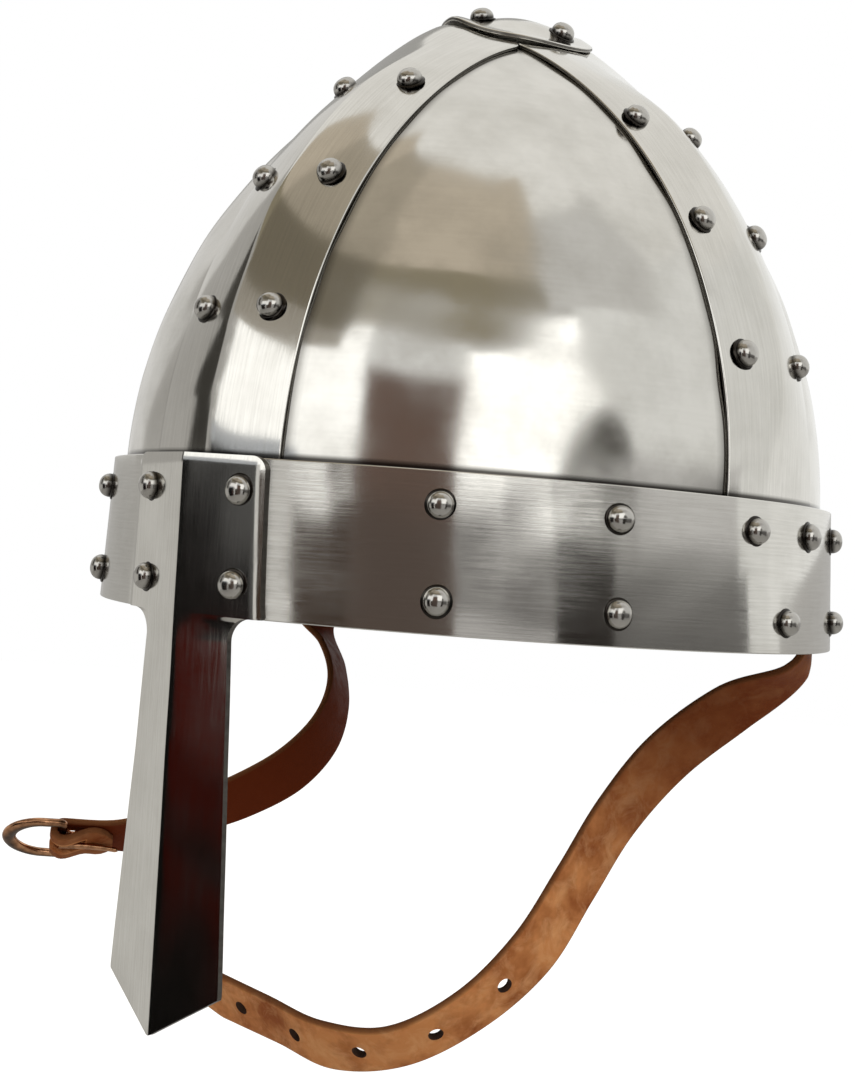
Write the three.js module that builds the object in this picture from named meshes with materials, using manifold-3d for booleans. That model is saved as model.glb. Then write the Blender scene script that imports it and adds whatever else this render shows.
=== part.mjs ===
// Norman nasal helmet: a riveted four-band skull with a brow band, a nasal and two chin strap halves.
// Millimetres, +Z up. The wearer looks along -Y, and the wearer's left is +X.
// The origin is the middle of the head opening, in the plane of the rim.
import * as THREE from 'three';
import { mergeVertices } from 'three/addons/utils/BufferGeometryUtils.js';
import Module from 'manifold-3d';

const wasm = await Module();
wasm.setup();

const degrees = THREE.MathUtils.degToRad;

// Skull: the outer face of the infill plates
const PLAN_POWER = 1.85;            // the plan is a superellipse of this power
const HALF_LENGTH = 110.7;          // front to back, at the brow band's top edge
const HALF_WIDTH = 101.2;           // side to side, at the brow band's top edge
const RIM_FLARE = 3.3;              // how much further each side stands out at the rim
const BROW_HEIGHT = 39.2;           // from the rim to the brow band's top edge
const CROWN_RISE = 136.8;           // from the brow band's top edge to the point of the skull
const BROW_LEAN = degrees(2.2);     // how far the dome's foot leans in from upright

// Sheet metal
const SHEET = 1.2;                  // thickness of every plate and band
const SEAT = 0.4;                   // gap between sheets that lie on each other
const LOWER_EDGE = 3;               // height of the plates' and bands' lower edges, inside the brow band
const PLATE_TUCK = 10;              // from a band's middle to the edge of the plate under it
const PLATE_TOP_LEAN = degrees(63);
const BAND_TOP_LEAN = degrees(67);
const MITRE_GAP = 0.25;             // from a band's end to the mitre line between two bands
const RIDGE_FADE = 15;              // height over which a ridge grows above the brow band
const RIDGE_FLATTENS = [degrees(44), degrees(58)];
const RIDGE_LEFT_AT_CROWN = 0.1;    // share of the ridge that is left under the crown cap

// The four bands: the angle that each faces, the distance of its rivet columns from its ridge,
// and how far the dome leans in at each of its rivet rows
const BANDS = [
  { name: 'front', facing: 0, rivets: 11, rivetLeans: [16.7, 31.8, 46.8] },
  { name: 'left', facing: 88.5, rivets: 13.2, rivetLeans: [16.4, 31, 45] },
  { name: 'back', facing: 180, rivets: 11, rivetLeans: [16.7, 31.8, 46.8] },
  { name: 'right', facing: 271.5, rivets: 13.2, rivetLeans: [16.4, 31, 45] },
];
const BAND_HALF = { brow: 21.4, crown: 18 };
const BAND_RIDGE = 3.7;             // rise of a band's middle ridge

// Rivets
const RIVET_RADIUS = 3.8;
const RIVET_HEIGHT = 3.5;
const RIVET_RIM = 0.4;              // height of a head's straight rim
const RIVET_SIDES = 10;
const RIVET_RINGS = [0, 35, 65].map(degrees);
const RIVET_SEAT = 0.15;            // gap under a separate rivet head
const RIVET_SINK = 0.5;             // depth of a band's rivet head in the band that it is fused to
const BROW_RIVET_ROWS = { upper: 31, lower: 8 };
const BROW_RIVET_PAIRS = [35, 59, 111.5, 146];
const SIDE_RIVET_SPREAD = 7;        // angle of a band's two upper brow rivets from its middle

// Nasal: a plate over the front of the brow band that narrows to a bar, all bent to a middle ridge
const NASAL_SHEET = 1.5;
const NASAL_RIDGE = { top: -119.6, tip: -116.3 };
const NASAL_RIVET_ACROSS = 15.4;
// Each row is one line across the nasal: the half width and height at its edge, the height at
// its ridge, and how much the two faces fall back for each millimetre across
const NASAL_ROWS = [
  { half: 19.8, edge: 39.6, ridge: 39.6, fall: 0.32 },
  { half: 22.8, edge: 38.6, ridge: 37.5, fall: 0.32 },
  { half: 23.7, edge: 36.2, ridge: 34, fall: 0.315 },
  { half: 23.7, edge: 18, ridge: 18, fall: 0.3 },
  { half: 23.7, edge: 0.2, ridge: 4, fall: 0.28 },
  { half: 19.6, edge: 0, ridge: 0, fall: 0.29 },
  { half: 17, edge: -0.7, ridge: -2, fall: 0.31 },
  { half: 15.2, edge: -2.7, ridge: -4, fall: 0.33 },
  { half: 14.4, edge: -6, ridge: -7, fall: 0.35 },
  { half: 15.9, edge: -35, ridge: -38, fall: 0.31 },
  { half: 17.9, edge: -65, ridge: -70, fall: 0.25 },
  { half: 19.5, edge: -92.4, ridge: -99, fall: 0.21 },
  { half: 0.6, edge: -104.6, ridge: -104.8, fall: 0.2 },
];

// Crown cap: a dished disc over the bands' ends, beaten down lower at the wearer's left
const CAP_RADIUS = 22.5;
const CAP_CLEAR = 3.6;              // from the skull's point to the cap's underside
const CAP_DROP = 7;                 // from the cap's middle to its edge
const CAP_CONE = 0.55;              // share of the drop that is a straight cone
const CAP_POINT_ROUND = 6;          // radius over which the cap's point is rounded
const CAP_SHIFT = { x: 2.1, y: 1.7 }; // from the skull's axis to the cap's middle
const CAP_TILT = degrees(10.4);
const CAP_TILT_TOWARD = degrees(78);
const CAP_RIVET_RADIUS = 16.5;
const CAP_RINGS = [0, 5, 10, 15, 19, CAP_RADIUS];
const CAP_SIDES = 28;

// Chin straps: the place of each bend, and the way that the strap's upper edge lies there:
// rise is its angle above level, and swing its angle from -Y toward +X
const STRAP_THICK = 2.2;
const STRAP_HALF = 8.5;
const STRAP_TURN = 111.5;           // angle from the front of each strap's riveted end
const STRAP_END_HEIGHTS = [21, 10, 1.5];
const STRAP_END_GAP = 1.05;         // from the plate behind to the middle of the riveted end
const LEFT_BENDS = [
  { x: 91, y: 36.8, z: -5.8, rise: 9, swing: 9 },
  { x: 73.5, y: 31.4, z: -18.8, rise: 40, swing: -20 },
  { x: 59, y: 22.8, z: -34.1, rise: 41, swing: -25 },
  { x: 51, y: 10.8, z: -51.7, rise: 38, swing: -15 },
  { x: 47.6, y: -2.6, z: -70.2, rise: 37, swing: -12 },
  { x: 43.7, y: -15.9, z: -88.7, rise: 38, swing: -13 },
  { x: 33.3, y: -28.1, z: -104.9, rise: 39, swing: -2 },
  { x: 16.9, y: -38.4, z: -117, rise: 44, swing: 2 },
  { x: -4.2, y: -43.3, z: -120.9, rise: 59, swing: 2 },
  { x: -26.9, y: -42.3, z: -119, rise: 60, swing: 7 },
  { x: -61, y: -42.1, z: -115.5, rise: 63, swing: 12 },
];
const RIGHT_BENDS = [
  { x: -92.9, y: 35.6, z: -8.1, rise: 17, swing: -6 },
  { x: -79.2, y: 30.3, z: -18.5, rise: 35, swing: 4 },
  { x: -68, y: 22.1, z: -30, rise: 44, swing: 10 },
  { x: -61.8, y: 10.3, z: -42, rise: 49, swing: 5 },
  { x: -62.9, y: -3.4, z: -53.3, rise: 53, swing: 1 },
  { x: -70.9, y: -16.6, z: -62.4, rise: 53, swing: 11 },
  { x: -81.9, y: -29.1, z: -69.5, rise: 49, swing: 22 },
  { x: -92.9, y: -42.1, z: -76.4, rise: 42, swing: 32 },
  { x: -106.5, y: -58, z: -76, rise: 38, swing: 38 },
];
const STEPS_PER_BEND = 4;
const TAIL_POINT = 12;              // length of the pointed tail
const TAIL_POINT_HALF = 2.5;
const HOLE_RADIUS = 1.7;
const HOLE_SIDES = 8;
const HOLE_COUNT = 5;
const HOLE_PITCH = 22.8;
const FIRST_HOLE = 126;             // along the strap, from its first bend

// Buckle: the strap's end is folded round the bar, with a slot for the tongue
const WIRE = 2.6;                   // thickness of the frame
const WIRE_BEVEL = 0.7;
const BAR_RADIUS = 1.45;            // round the corners of the frame's bar
const BAR_CLEAR = 0.35;
const FOLD_HALF = 6.4;
const FOLD_NARROWS = 26;            // length over which the strap narrows to its fold
const FOLD_TAIL = 18;
const FOLD_CLOSES = 9;              // distance from the bar at which the fold's two layers meet
const FOLD_STEPS = 8;
const SLOT = { half: 2.4, back: 7, front: 6, deep: 8 };
const FRAME_HALF = 11;
const FRAME_LENGTH = 18.5;          // from the bar to the far end's outer edge
const FRAME_ROUND = 0.62;           // share of the frame's length that is its rounded far end
const FRAME_ROUND_STEPS = 8;
const TONGUE = { half: 1.7, wall: 1.2, length: 17, root: 1.1, tip: 0.75, sides: 8, lie: 2.9 };
const TONGUE_ROOT_AHEAD = 1;        // from the bar to the pin's thick end, inside the eye
const EYE_SIDES = 14;

// Places and directions on the skull
const RISE_CHORD = Math.atan2(HALF_WIDTH, CROWN_RISE);
const CROWN_LEAN = 2 * RISE_CHORD - BROW_LEAN;
const PROFILE_RADIUS = CROWN_RISE / (Math.sin(CROWN_LEAN) - Math.sin(BROW_LEAN));

// A level line of the upright wall behind the brow band: its half length and half width, its
// height, and how fast the two halves change with height
function wallSection(height) {
  const share = (BROW_HEIGHT - height) / BROW_HEIGHT;
  return {
    length: HALF_LENGTH,
    width: HALF_WIDTH + RIM_FLARE * share,
    height,
    lengthSlope: 0,
    widthSlope: -RIM_FLARE / BROW_HEIGHT,
  };
}

// A level line of the dome, where its side profile, a circle's arc, leans in by this angle
function domeSection(lean) {
  const share = 1 - PROFILE_RADIUS * (Math.cos(BROW_LEAN) - Math.cos(lean)) / HALF_WIDTH;
  const slope = -Math.tan(lean) / HALF_WIDTH;
  return {
    length: HALF_LENGTH * share,
    width: HALF_WIDTH * share,
    height: BROW_HEIGHT + PROFILE_RADIUS * (Math.sin(lean) - Math.sin(BROW_LEAN)),
    lengthSlope: HALF_LENGTH * slope,
    widthSlope: HALF_WIDTH * slope,
  };
}

// The point of a level line at an angle from the front toward the wearer's left, and the
// outward normal of the skull there
function skullPlace(section, turn) {
  const across = Math.sin(turn);
  const ahead = Math.cos(turn);
  const reach = (Math.abs(across) ** PLAN_POWER + Math.abs(ahead) ** PLAN_POWER) ** (-1 / PLAN_POWER);
  const x = section.width * across * reach;
  const y = -section.length * ahead * reach;
  const xShare = Math.abs(x) ** PLAN_POWER / section.width ** PLAN_POWER;
  const yShare = Math.abs(y) ** PLAN_POWER / section.length ** PLAN_POWER;
  const normal = new THREE.Vector3(
    Math.sign(x) * Math.abs(x) ** (PLAN_POWER - 1) / section.width ** PLAN_POWER,
    Math.sign(y) * Math.abs(y) ** (PLAN_POWER - 1) / section.length ** PLAN_POWER,
    -(xShare * section.widthSlope / section.width + yShare * section.lengthSlope / section.length),
  ).normalize();
  return { point: new THREE.Vector3(x, y, section.height), normal };
}

// A point at a distance outward from the skull's face
function skullPoint(section, turn, offset) {
  const place = skullPlace(section, turn);
  return place.point.addScaledVector(place.normal, offset);
}

const facesSide = (facing) => Math.abs(Math.sin(degrees(facing))) > 0.5;

// The angle, from a band's middle, of the point at a distance across from that middle
function turnAcross(section, facing, across) {
  const half = facesSide(facing) ? section.length : section.width;
  const share = Math.min(across / half, 1);
  return Math.atan2(share, (1 - share ** PLAN_POWER) ** (1 / PLAN_POWER));
}

// A closed wall between two faces that are grids of points. pointAt(row, column, face) gives a
// point of face 0 or face 1, and a ring's last column meets its first
function wallGeometry(rows, columns, pointAt, ring = false) {
  const perRow = ring ? columns : columns + 1;
  const perFace = (rows + 1) * perRow;
  const positions = [];
  for (let face = 0; face < 2; face += 1) {
    for (let row = 0; row <= rows; row += 1) {
      for (let column = 0; column < perRow; column += 1) {
        positions.push(...pointAt(row, column, face).toArray());
      }
    }
  }
  const index = [];
  const at = (row, column, face) => face * perFace + row * perRow + column % perRow;
  const quad = (a, b, c, d) => index.push(a, b, c, a, c, d);
  for (let row = 0; row < rows; row += 1) {
    for (let column = 0; column < columns; column += 1) {
      quad(at(row, column, 0), at(row, column + 1, 0), at(row + 1, column + 1, 0), at(row + 1, column, 0));
      quad(at(row, column, 1), at(row + 1, column, 1), at(row + 1, column + 1, 1), at(row, column + 1, 1));
    }
  }
  for (let column = 0; column < columns; column += 1) {
    quad(at(0, column, 1), at(0, column + 1, 1), at(0, column + 1, 0), at(0, column, 0));
    quad(at(rows, column, 0), at(rows, column + 1, 0), at(rows, column + 1, 1), at(rows, column, 1));
  }
  if (!ring) {
    for (let row = 0; row < rows; row += 1) {
      quad(at(row, 0, 1), at(row, 0, 0), at(row + 1, 0, 0), at(row + 1, 0, 1));
      quad(at(row, columns, 0), at(row, columns, 1), at(row + 1, columns, 1), at(row + 1, columns, 0));
    }
  }
  const geometry = new THREE.BufferGeometry();
  geometry.setAttribute('position', new THREE.Float32BufferAttribute(positions, 3));
  geometry.setIndex(index);
  return geometry;
}

// A solid for joining and cutting: shared corners are merged and flat triangles left out
function toSolid(geometry) {
  const bare = geometry.clone();
  bare.deleteAttribute('normal');
  bare.deleteAttribute('uv');
  const merged = mergeVertices(bare, 1e-3);
  const corners = [];
  for (let i = 0; i < merged.index.count; i += 3) {
    const [a, b, c] = [0, 1, 2].map((corner) => merged.index.getX(i + corner));
    if (a !== b && b !== c && c !== a) corners.push(a, b, c);
  }
  const mesh = new wasm.Mesh({
    numProp: 3,
    vertProperties: new Float32Array(merged.attributes.position.array),
    triVerts: new Uint32Array(corners),
  });
  return new wasm.Manifold(mesh);
}

function fromSolid(solid) {
  const mesh = solid.getMesh();
  const geometry = new THREE.BufferGeometry();
  geometry.setAttribute('position', new THREE.Float32BufferAttribute(mesh.vertProperties, 3));
  geometry.setIndex(Array.from(mesh.triVerts));
  return geometry;
}

const join = (base, extras) => fromSolid(extras.reduce((all, one) => all.add(toSolid(one)), toSolid(base)));
const cut = (base, tools) => fromSolid(tools.reduce((all, one) => all.subtract(toSolid(one)), toSolid(base)));

// Materials
const steel = new THREE.MeshStandardMaterial({ color: 0xbab7ae, roughness: 0.24, metalness: 1 });
const darkSteel = new THREE.MeshStandardMaterial({ color: 0x8d8981, roughness: 0.3, metalness: 1 });
const tanLeather = new THREE.MeshStandardMaterial({ color: 0xa86a3c, roughness: 0.62, metalness: 0 });
const copperBrass = new THREE.MeshStandardMaterial({ color: 0xb07a4e, roughness: 0.32, metalness: 1 });

const helmet = new THREE.Group();

function addPart(name, geometry, material) {
  const mesh = new THREE.Mesh(geometry, material);
  mesh.name = name;
  helmet.add(mesh);
  return mesh;
}

// Rivet heads
const UP = new THREE.Vector3(0, 1, 0);

// A domed head about +Y, with its flat base at the given height
function rivetHead(base) {
  const profile = [
    new THREE.Vector2(0, base),
    new THREE.Vector2(RIVET_RADIUS, base),
    ...RIVET_RINGS.map((angle) => new THREE.Vector2(
      RIVET_RADIUS * Math.cos(angle),
      THREE.MathUtils.lerp(RIVET_RIM, RIVET_HEIGHT, Math.sin(angle)),
    )),
    new THREE.Vector2(0, RIVET_HEIGHT),
  ];
  return new THREE.LatheGeometry(profile, RIVET_SIDES);
}

// Turns a piece made about +Y to a place and a direction
function placement(point, normal) {
  const turn = new THREE.Quaternion().setFromUnitVectors(UP, normal);
  return new THREE.Matrix4().compose(point, turn, new THREE.Vector3(1, 1, 1));
}

function addRivet(name, point, normal) {
  const rivet = addPart(name, rivetHead(0), darkSteel);
  rivet.position.copy(point).addScaledVector(normal, RIVET_SEAT);
  rivet.quaternion.setFromUnitVectors(UP, normal);
}

// Infill plates, one in each quarter, under the bands
const PLATE_DOME_ROWS = 9;
const PLATE_COLUMNS = 9;
const plateSections = [wallSection(LOWER_EDGE)];
for (let row = 0; row <= PLATE_DOME_ROWS; row += 1) {
  plateSections.push(domeSection(THREE.MathUtils.lerp(BROW_LEAN, PLATE_TOP_LEAN, row / PLATE_DOME_ROWS)));
}

function infillPlate(facing, nextFacing) {
  return wallGeometry(plateSections.length - 1, PLATE_COLUMNS, (row, column, face) => {
    const section = plateSections[row];
    const first = degrees(facing) + turnAcross(section, facing, PLATE_TUCK);
    const last = degrees(nextFacing) - turnAcross(section, nextFacing, PLATE_TUCK);
    const turn = THREE.MathUtils.lerp(first, last, column / PLATE_COLUMNS);
    return skullPoint(section, turn, -SHEET * face);
  });
}

// Bands over the plates' edges, each bent to a middle ridge that dies away at the brow and the crown
const BAND_DOME_ROWS = 13;
const BAND_SHARES = [-1, -0.5, 0, 0.5, 1];
const bandSections = [{ ...wallSection(LOWER_EDGE), lean: 0 }];
for (let row = 0; row <= BAND_DOME_ROWS; row += 1) {
  const lean = THREE.MathUtils.lerp(BROW_LEAN, BAND_TOP_LEAN, row / BAND_DOME_ROWS);
  bandSections.push({ ...domeSection(lean), lean });
}
const bandInner = SEAT;
const bandOuter = SEAT + SHEET;
const browInner = bandOuter + SEAT;
const browOuter = browInner + SHEET;

function ridgeRise(section) {
  const grown = THREE.MathUtils.smoothstep(section.height - BROW_HEIGHT, 0, RIDGE_FADE);
  const flat = THREE.MathUtils.smoothstep(section.lean, ...RIDGE_FLATTENS);
  return BAND_RIDGE * grown * THREE.MathUtils.lerp(1, RIDGE_LEFT_AT_CROWN, flat);
}

// The angle from a band's middle to its edge: its half width, or near the crown the mitre line
function bandEdgeTurn(band, section) {
  const share = THREE.MathUtils.clamp((section.height - BROW_HEIGHT) / CROWN_RISE, 0, 1);
  const half = THREE.MathUtils.lerp(BAND_HALF.brow, BAND_HALF.crown, share);
  const [front, side] = BANDS;
  const mitre = degrees(side.facing - front.facing) / 2;
  return Math.min(turnAcross(section, band.facing, half), mitre - MITRE_GAP / section.width);
}

function bandGeometry(band) {
  const strip = wallGeometry(bandSections.length - 1, BAND_SHARES.length - 1, (row, column, face) => {
    const section = bandSections[row];
    const share = BAND_SHARES[column];
    const turn = degrees(band.facing) + share * bandEdgeTurn(band, section);
    const rise = ridgeRise(section) * (1 - Math.abs(share));
    return skullPoint(section, turn, (face === 0 ? bandOuter : bandInner) + rise);
  });
  const heads = [];
  for (const lean of band.rivetLeans.map(degrees)) {
    const section = { ...domeSection(lean), lean };
    const edge = bandEdgeTurn(band, section);
    const offTurn = turnAcross(section, band.facing, band.rivets);
    for (const side of [-1, 1]) {
      const place = skullPlace(section, degrees(band.facing) + side * offTurn);
      const rise = ridgeRise(section) * (1 - offTurn / edge);
      place.point.addScaledVector(place.normal, bandOuter + rise);
      heads.push(rivetHead(-RIVET_SINK).applyMatrix4(placement(place.point, place.normal)));
    }
  }
  return join(strip, heads);
}

for (const [index, band] of BANDS.entries()) {
  const next = BANDS[(index + 1) % BANDS.length];
  const nextFacing = next.facing > band.facing ? next.facing : next.facing + 360;
  addPart(`plate_${band.name}_to_${next.name}`, infillPlate(band.facing, nextFacing), steel);
  addPart(`band_${band.name}`, bandGeometry(band), steel);
}

// Brow band: a ring over the lower ends of the bands
const BROW_COLUMNS = 64;
const browLevels = [0, BROW_HEIGHT / 2, BROW_HEIGHT].map(wallSection);
const browBand = wallGeometry(browLevels.length - 1, BROW_COLUMNS, (row, column, face) => skullPoint(
  browLevels[row],
  2 * Math.PI * column / BROW_COLUMNS,
  face === 0 ? browOuter : browInner,
), true);
addPart('brow_band', browBand, steel);

function addBrowRivet(name, turnDegrees, height) {
  const place = skullPlace(wallSection(height), degrees(turnDegrees));
  addRivet(name, place.point.addScaledVector(place.normal, browOuter), place.normal);
}

for (const [side, sign] of [['left', 1], ['right', -1]]) {
  for (const turn of BROW_RIVET_PAIRS) {
    for (const [row, height] of Object.entries(BROW_RIVET_ROWS)) {
      addBrowRivet(`rivet_brow_${side}_${Math.round(turn)}_${row}`, sign * turn, height);
    }
  }
}
for (const band of BANDS.slice(1)) {
  addBrowRivet(`rivet_brow_${band.name}_fore`, band.facing - SIDE_RIVET_SPREAD, BROW_RIVET_ROWS.upper);
  addBrowRivet(`rivet_brow_${band.name}_aft`, band.facing + SIDE_RIVET_SPREAD, BROW_RIVET_ROWS.upper);
  addBrowRivet(`rivet_brow_${band.name}_low`, band.facing, BROW_RIVET_ROWS.lower);
}

// Nasal
const NASAL_SHARES = [-1, -0.5, 0, 0.5, 1];
const nasalTop = NASAL_ROWS[0].ridge;
const nasalTip = NASAL_ROWS[NASAL_ROWS.length - 1].ridge;
const nasalRidgeY = (height) => THREE.MathUtils.mapLinear(
  height, nasalTop, nasalTip, NASAL_RIDGE.top, NASAL_RIDGE.tip,
);
const nasal = wallGeometry(NASAL_ROWS.length - 1, NASAL_SHARES.length - 1, (row, column, face) => {
  const line = NASAL_ROWS[NASAL_ROWS.length - 1 - row];
  const share = NASAL_SHARES[column];
  const height = THREE.MathUtils.lerp(line.ridge, line.edge, Math.abs(share));
  const across = line.half * share;
  const y = nasalRidgeY(height) + Math.abs(across) * line.fall + NASAL_SHEET * face;
  return new THREE.Vector3(across, y, height);
});
addPart('nasal', nasal, steel);

// How much the plate's faces fall back at a height on the brow band
function plateFall(height) {
  const above = NASAL_ROWS.findLast((line) => line.edge >= height);
  const below = NASAL_ROWS.find((line) => line.edge < height);
  return THREE.MathUtils.mapLinear(height, above.edge, below.edge, above.fall, below.fall);
}

for (const [side, sign] of [['left', 1], ['right', -1]]) {
  for (const [row, height] of Object.entries(BROW_RIVET_ROWS)) {
    const fall = plateFall(height);
    const y = nasalRidgeY(height) + NASAL_RIVET_ACROSS * fall;
    const normal = new THREE.Vector3(sign * fall, -1, 0).normalize();
    addRivet(`rivet_nasal_${side}_${row}`, new THREE.Vector3(sign * NASAL_RIVET_ACROSS, y, height), normal);
  }
}

// Crown cap, in a group of its own that tilts it
const crown = new THREE.Group();
crown.position.set(CAP_SHIFT.x, CAP_SHIFT.y, BROW_HEIGHT + CROWN_RISE + CAP_CLEAR);
crown.quaternion.setFromAxisAngle(
  new THREE.Vector3(Math.cos(CAP_TILT_TOWARD), Math.sin(CAP_TILT_TOWARD), 0),
  CAP_TILT,
);
helmet.add(crown);

// How far the cap's underside lies below its middle, at a distance from its axis
function capDrop(radius) {
  const rounded = (far) => Math.hypot(far, CAP_POINT_ROUND) - CAP_POINT_ROUND;
  const cone = rounded(radius) / rounded(CAP_RADIUS);
  const dish = (radius / CAP_RADIUS) ** 2;
  return CAP_DROP * THREE.MathUtils.lerp(dish, cone, CAP_CONE);
}

const capProfile = [
  ...CAP_RINGS.map((radius) => new THREE.Vector2(radius, -capDrop(radius))),
  ...CAP_RINGS.map((radius) => new THREE.Vector2(radius, SHEET - capDrop(radius))).reverse(),
];
const cap = new THREE.Mesh(new THREE.LatheGeometry(capProfile, CAP_SIDES).rotateX(Math.PI / 2), steel);
cap.name = 'crown_cap';
crown.add(cap);

for (const band of BANDS) {
  const outward = new THREE.Vector3(Math.sin(degrees(band.facing)), -Math.cos(degrees(band.facing)), 0);
  const step = 0.5;
  const slope = (capDrop(CAP_RIVET_RADIUS + step) - capDrop(CAP_RIVET_RADIUS - step)) / (2 * step);
  const normal = outward.clone().multiplyScalar(slope).add(new THREE.Vector3(0, 0, 1)).normalize();
  const rivet = new THREE.Mesh(rivetHead(0), darkSteel);
  rivet.name = `rivet_crown_${band.name}`;
  rivet.position.copy(outward).multiplyScalar(CAP_RIVET_RADIUS);
  rivet.position.z = SHEET - capDrop(CAP_RIVET_RADIUS);
  rivet.position.addScaledVector(normal, RIVET_SEAT);
  rivet.quaternion.setFromUnitVectors(UP, normal);
  crown.add(rivet);
}

// Chin straps: flat ribbons carried through their bends, with the riveted end inside the rim
function edgeDirection(rise, swing) {
  const [up, round] = [degrees(rise), degrees(swing)];
  return new THREE.Vector3(Math.sin(round) * Math.cos(up), -Math.cos(round) * Math.cos(up), Math.sin(up));
}

// The strap's stations: centre, along, edge and face directions, and the distance from its first bend
function strapStations(side, bends) {
  const rivetedOffset = -(SHEET + STRAP_END_GAP + STRAP_THICK / 2);
  const inside = STRAP_END_HEIGHTS.map((height) => {
    const { point, normal } = skullPlace(wallSection(height), side * degrees(STRAP_TURN));
    return {
      centre: point.addScaledVector(normal, rivetedOffset),
      edge: new THREE.Vector3(side * normal.y, -side * normal.x, 0).normalize(),
    };
  });
  const hanging = bends.map(({ x, y, z, rise, swing }) => ({
    centre: new THREE.Vector3(x, y, z),
    edge: edgeDirection(rise, swing),
  }));
  const rows = [...inside, ...hanging];
  const route = new THREE.CatmullRomCurve3(rows.map((row) => row.centre), false, 'centripetal');
  const edges = new THREE.CatmullRomCurve3(rows.map((row) => row.edge), false, 'catmullrom');
  const steps = (rows.length - 1) * STEPS_PER_BEND;
  const stations = [];
  for (let step = 0; step <= steps; step += 1) {
    const centre = route.getPoint(step / steps);
    const along = route.getTangent(step / steps);
    const edge = edges.getPoint(step / steps);
    edge.addScaledVector(along, -edge.dot(along)).normalize();
    const face = new THREE.Vector3().crossVectors(along, edge);
    const travelled = step === 0 ? 0 : stations[step - 1].travelled + centre.distanceTo(stations[step - 1].centre);
    stations.push({ centre, along, edge, face, travelled });
  }
  const start = stations[inside.length * STEPS_PER_BEND].travelled;
  for (const station of stations) station.travelled -= start;
  return stations;
}

function ribbon(stations, halfAt) {
  return wallGeometry(stations.length - 1, 1, (row, column, face) => {
    const station = stations[row];
    return station.centre.clone()
      .addScaledVector(station.edge, (2 * column - 1) * halfAt(station))
      .addScaledVector(station.face, (face - 0.5) * STRAP_THICK);
  });
}

// A station at any distance along a strap
function stationAt(stations, travelled) {
  const next = stations.findIndex((station) => station.travelled >= travelled);
  const [a, b] = [stations[next - 1], stations[next]];
  const share = (travelled - a.travelled) / (b.travelled - a.travelled);
  return {
    centre: a.centre.clone().lerp(b.centre, share),
    face: a.face.clone().lerp(b.face, share).normalize(),
  };
}

const leftStations = strapStations(1, LEFT_BENDS);
const leftEnd = leftStations[leftStations.length - 1].travelled;
const leftRibbon = ribbon(leftStations, (station) => THREE.MathUtils.lerp(
  TAIL_POINT_HALF, STRAP_HALF, Math.sqrt(Math.min((leftEnd - station.travelled) / TAIL_POINT, 1)),
));
const punches = [];
for (let hole = 0; hole < HOLE_COUNT; hole += 1) {
  const place = stationAt(leftStations, FIRST_HOLE + hole * HOLE_PITCH);
  const punch = new THREE.CylinderGeometry(HOLE_RADIUS, HOLE_RADIUS, 3 * STRAP_THICK, HOLE_SIDES);
  punches.push(punch.applyMatrix4(placement(place.centre, place.face)));
}
addPart('strap_left', cut(leftRibbon, punches), tanLeather);

// The right strap runs over the buckle's bar, round it, and back under itself
const rightStations = strapStations(-1, RIGHT_BENDS);
const foldRadius = BAR_RADIUS + BAR_CLEAR + STRAP_THICK / 2;
const rightEnd = rightStations[rightStations.length - 1];
const barCentre = rightEnd.centre.clone().addScaledVector(rightEnd.face, -foldRadius);
const foldStations = [...rightStations];
for (let step = 1; step <= FOLD_STEPS; step += 1) {
  const angle = Math.PI * step / FOLD_STEPS;
  const face = rightEnd.face.clone().multiplyScalar(Math.cos(angle)).addScaledVector(rightEnd.along, Math.sin(angle));
  const centre = barCentre.clone().addScaledVector(face, foldRadius);
  foldStations.push({ centre, edge: rightEnd.edge, face, travelled: rightEnd.travelled });
}
for (const station of [...rightStations].reverse().slice(1)) {
  const back = rightEnd.travelled - station.travelled;
  if (back > FOLD_TAIL) break;
  const open = 1 - THREE.MathUtils.smoothstep(back, 0, FOLD_CLOSES);
  const apart = THREE.MathUtils.lerp(STRAP_THICK + SEAT, 2 * foldRadius, open);
  foldStations.push({
    centre: station.centre.clone().addScaledVector(station.face, -apart),
    edge: station.edge,
    face: station.face.clone().negate(),
    travelled: station.travelled,
  });
}
const rightRibbon = ribbon(foldStations, (station) => THREE.MathUtils.lerp(
  FOLD_HALF, STRAP_HALF, THREE.MathUtils.smoothstep(rightEnd.travelled - station.travelled, 0, FOLD_NARROWS),
));
// The buckle's own frame: x along the strap toward the free end, y along the bar, z on the strap's face
const buckleFrame = new THREE.Matrix4()
  .makeBasis(rightEnd.along, rightEnd.edge, rightEnd.face)
  .setPosition(barCentre);
// The slot is longer under the bar, where the tongue lies, than over it, where only the eye turns
const slot = new THREE.BoxGeometry(SLOT.back + SLOT.front, 2 * SLOT.half, 2 * SLOT.deep)
  .translate((SLOT.front - SLOT.back) / 2, 0, -SLOT.deep + BAR_RADIUS)
  .applyMatrix4(buckleFrame);
const eyeReach = BAR_RADIUS + 2 * BAR_CLEAR + TONGUE.wall;
const slotTop = new THREE.BoxGeometry(SLOT.front + eyeReach, 2 * SLOT.half, 2 * SLOT.deep)
  .translate((SLOT.front - eyeReach) / 2, 0, 0)
  .applyMatrix4(buckleFrame);
addPart('strap_right', cut(rightRibbon, [slot, slotTop]), tanLeather);

const buckle = new THREE.Group();
buckle.applyMatrix4(buckleFrame);
helmet.add(buckle);

function addBucklePart(name, geometry) {
  const mesh = new THREE.Mesh(geometry, copperBrass);
  mesh.name = name;
  buckle.add(mesh);
}

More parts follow.
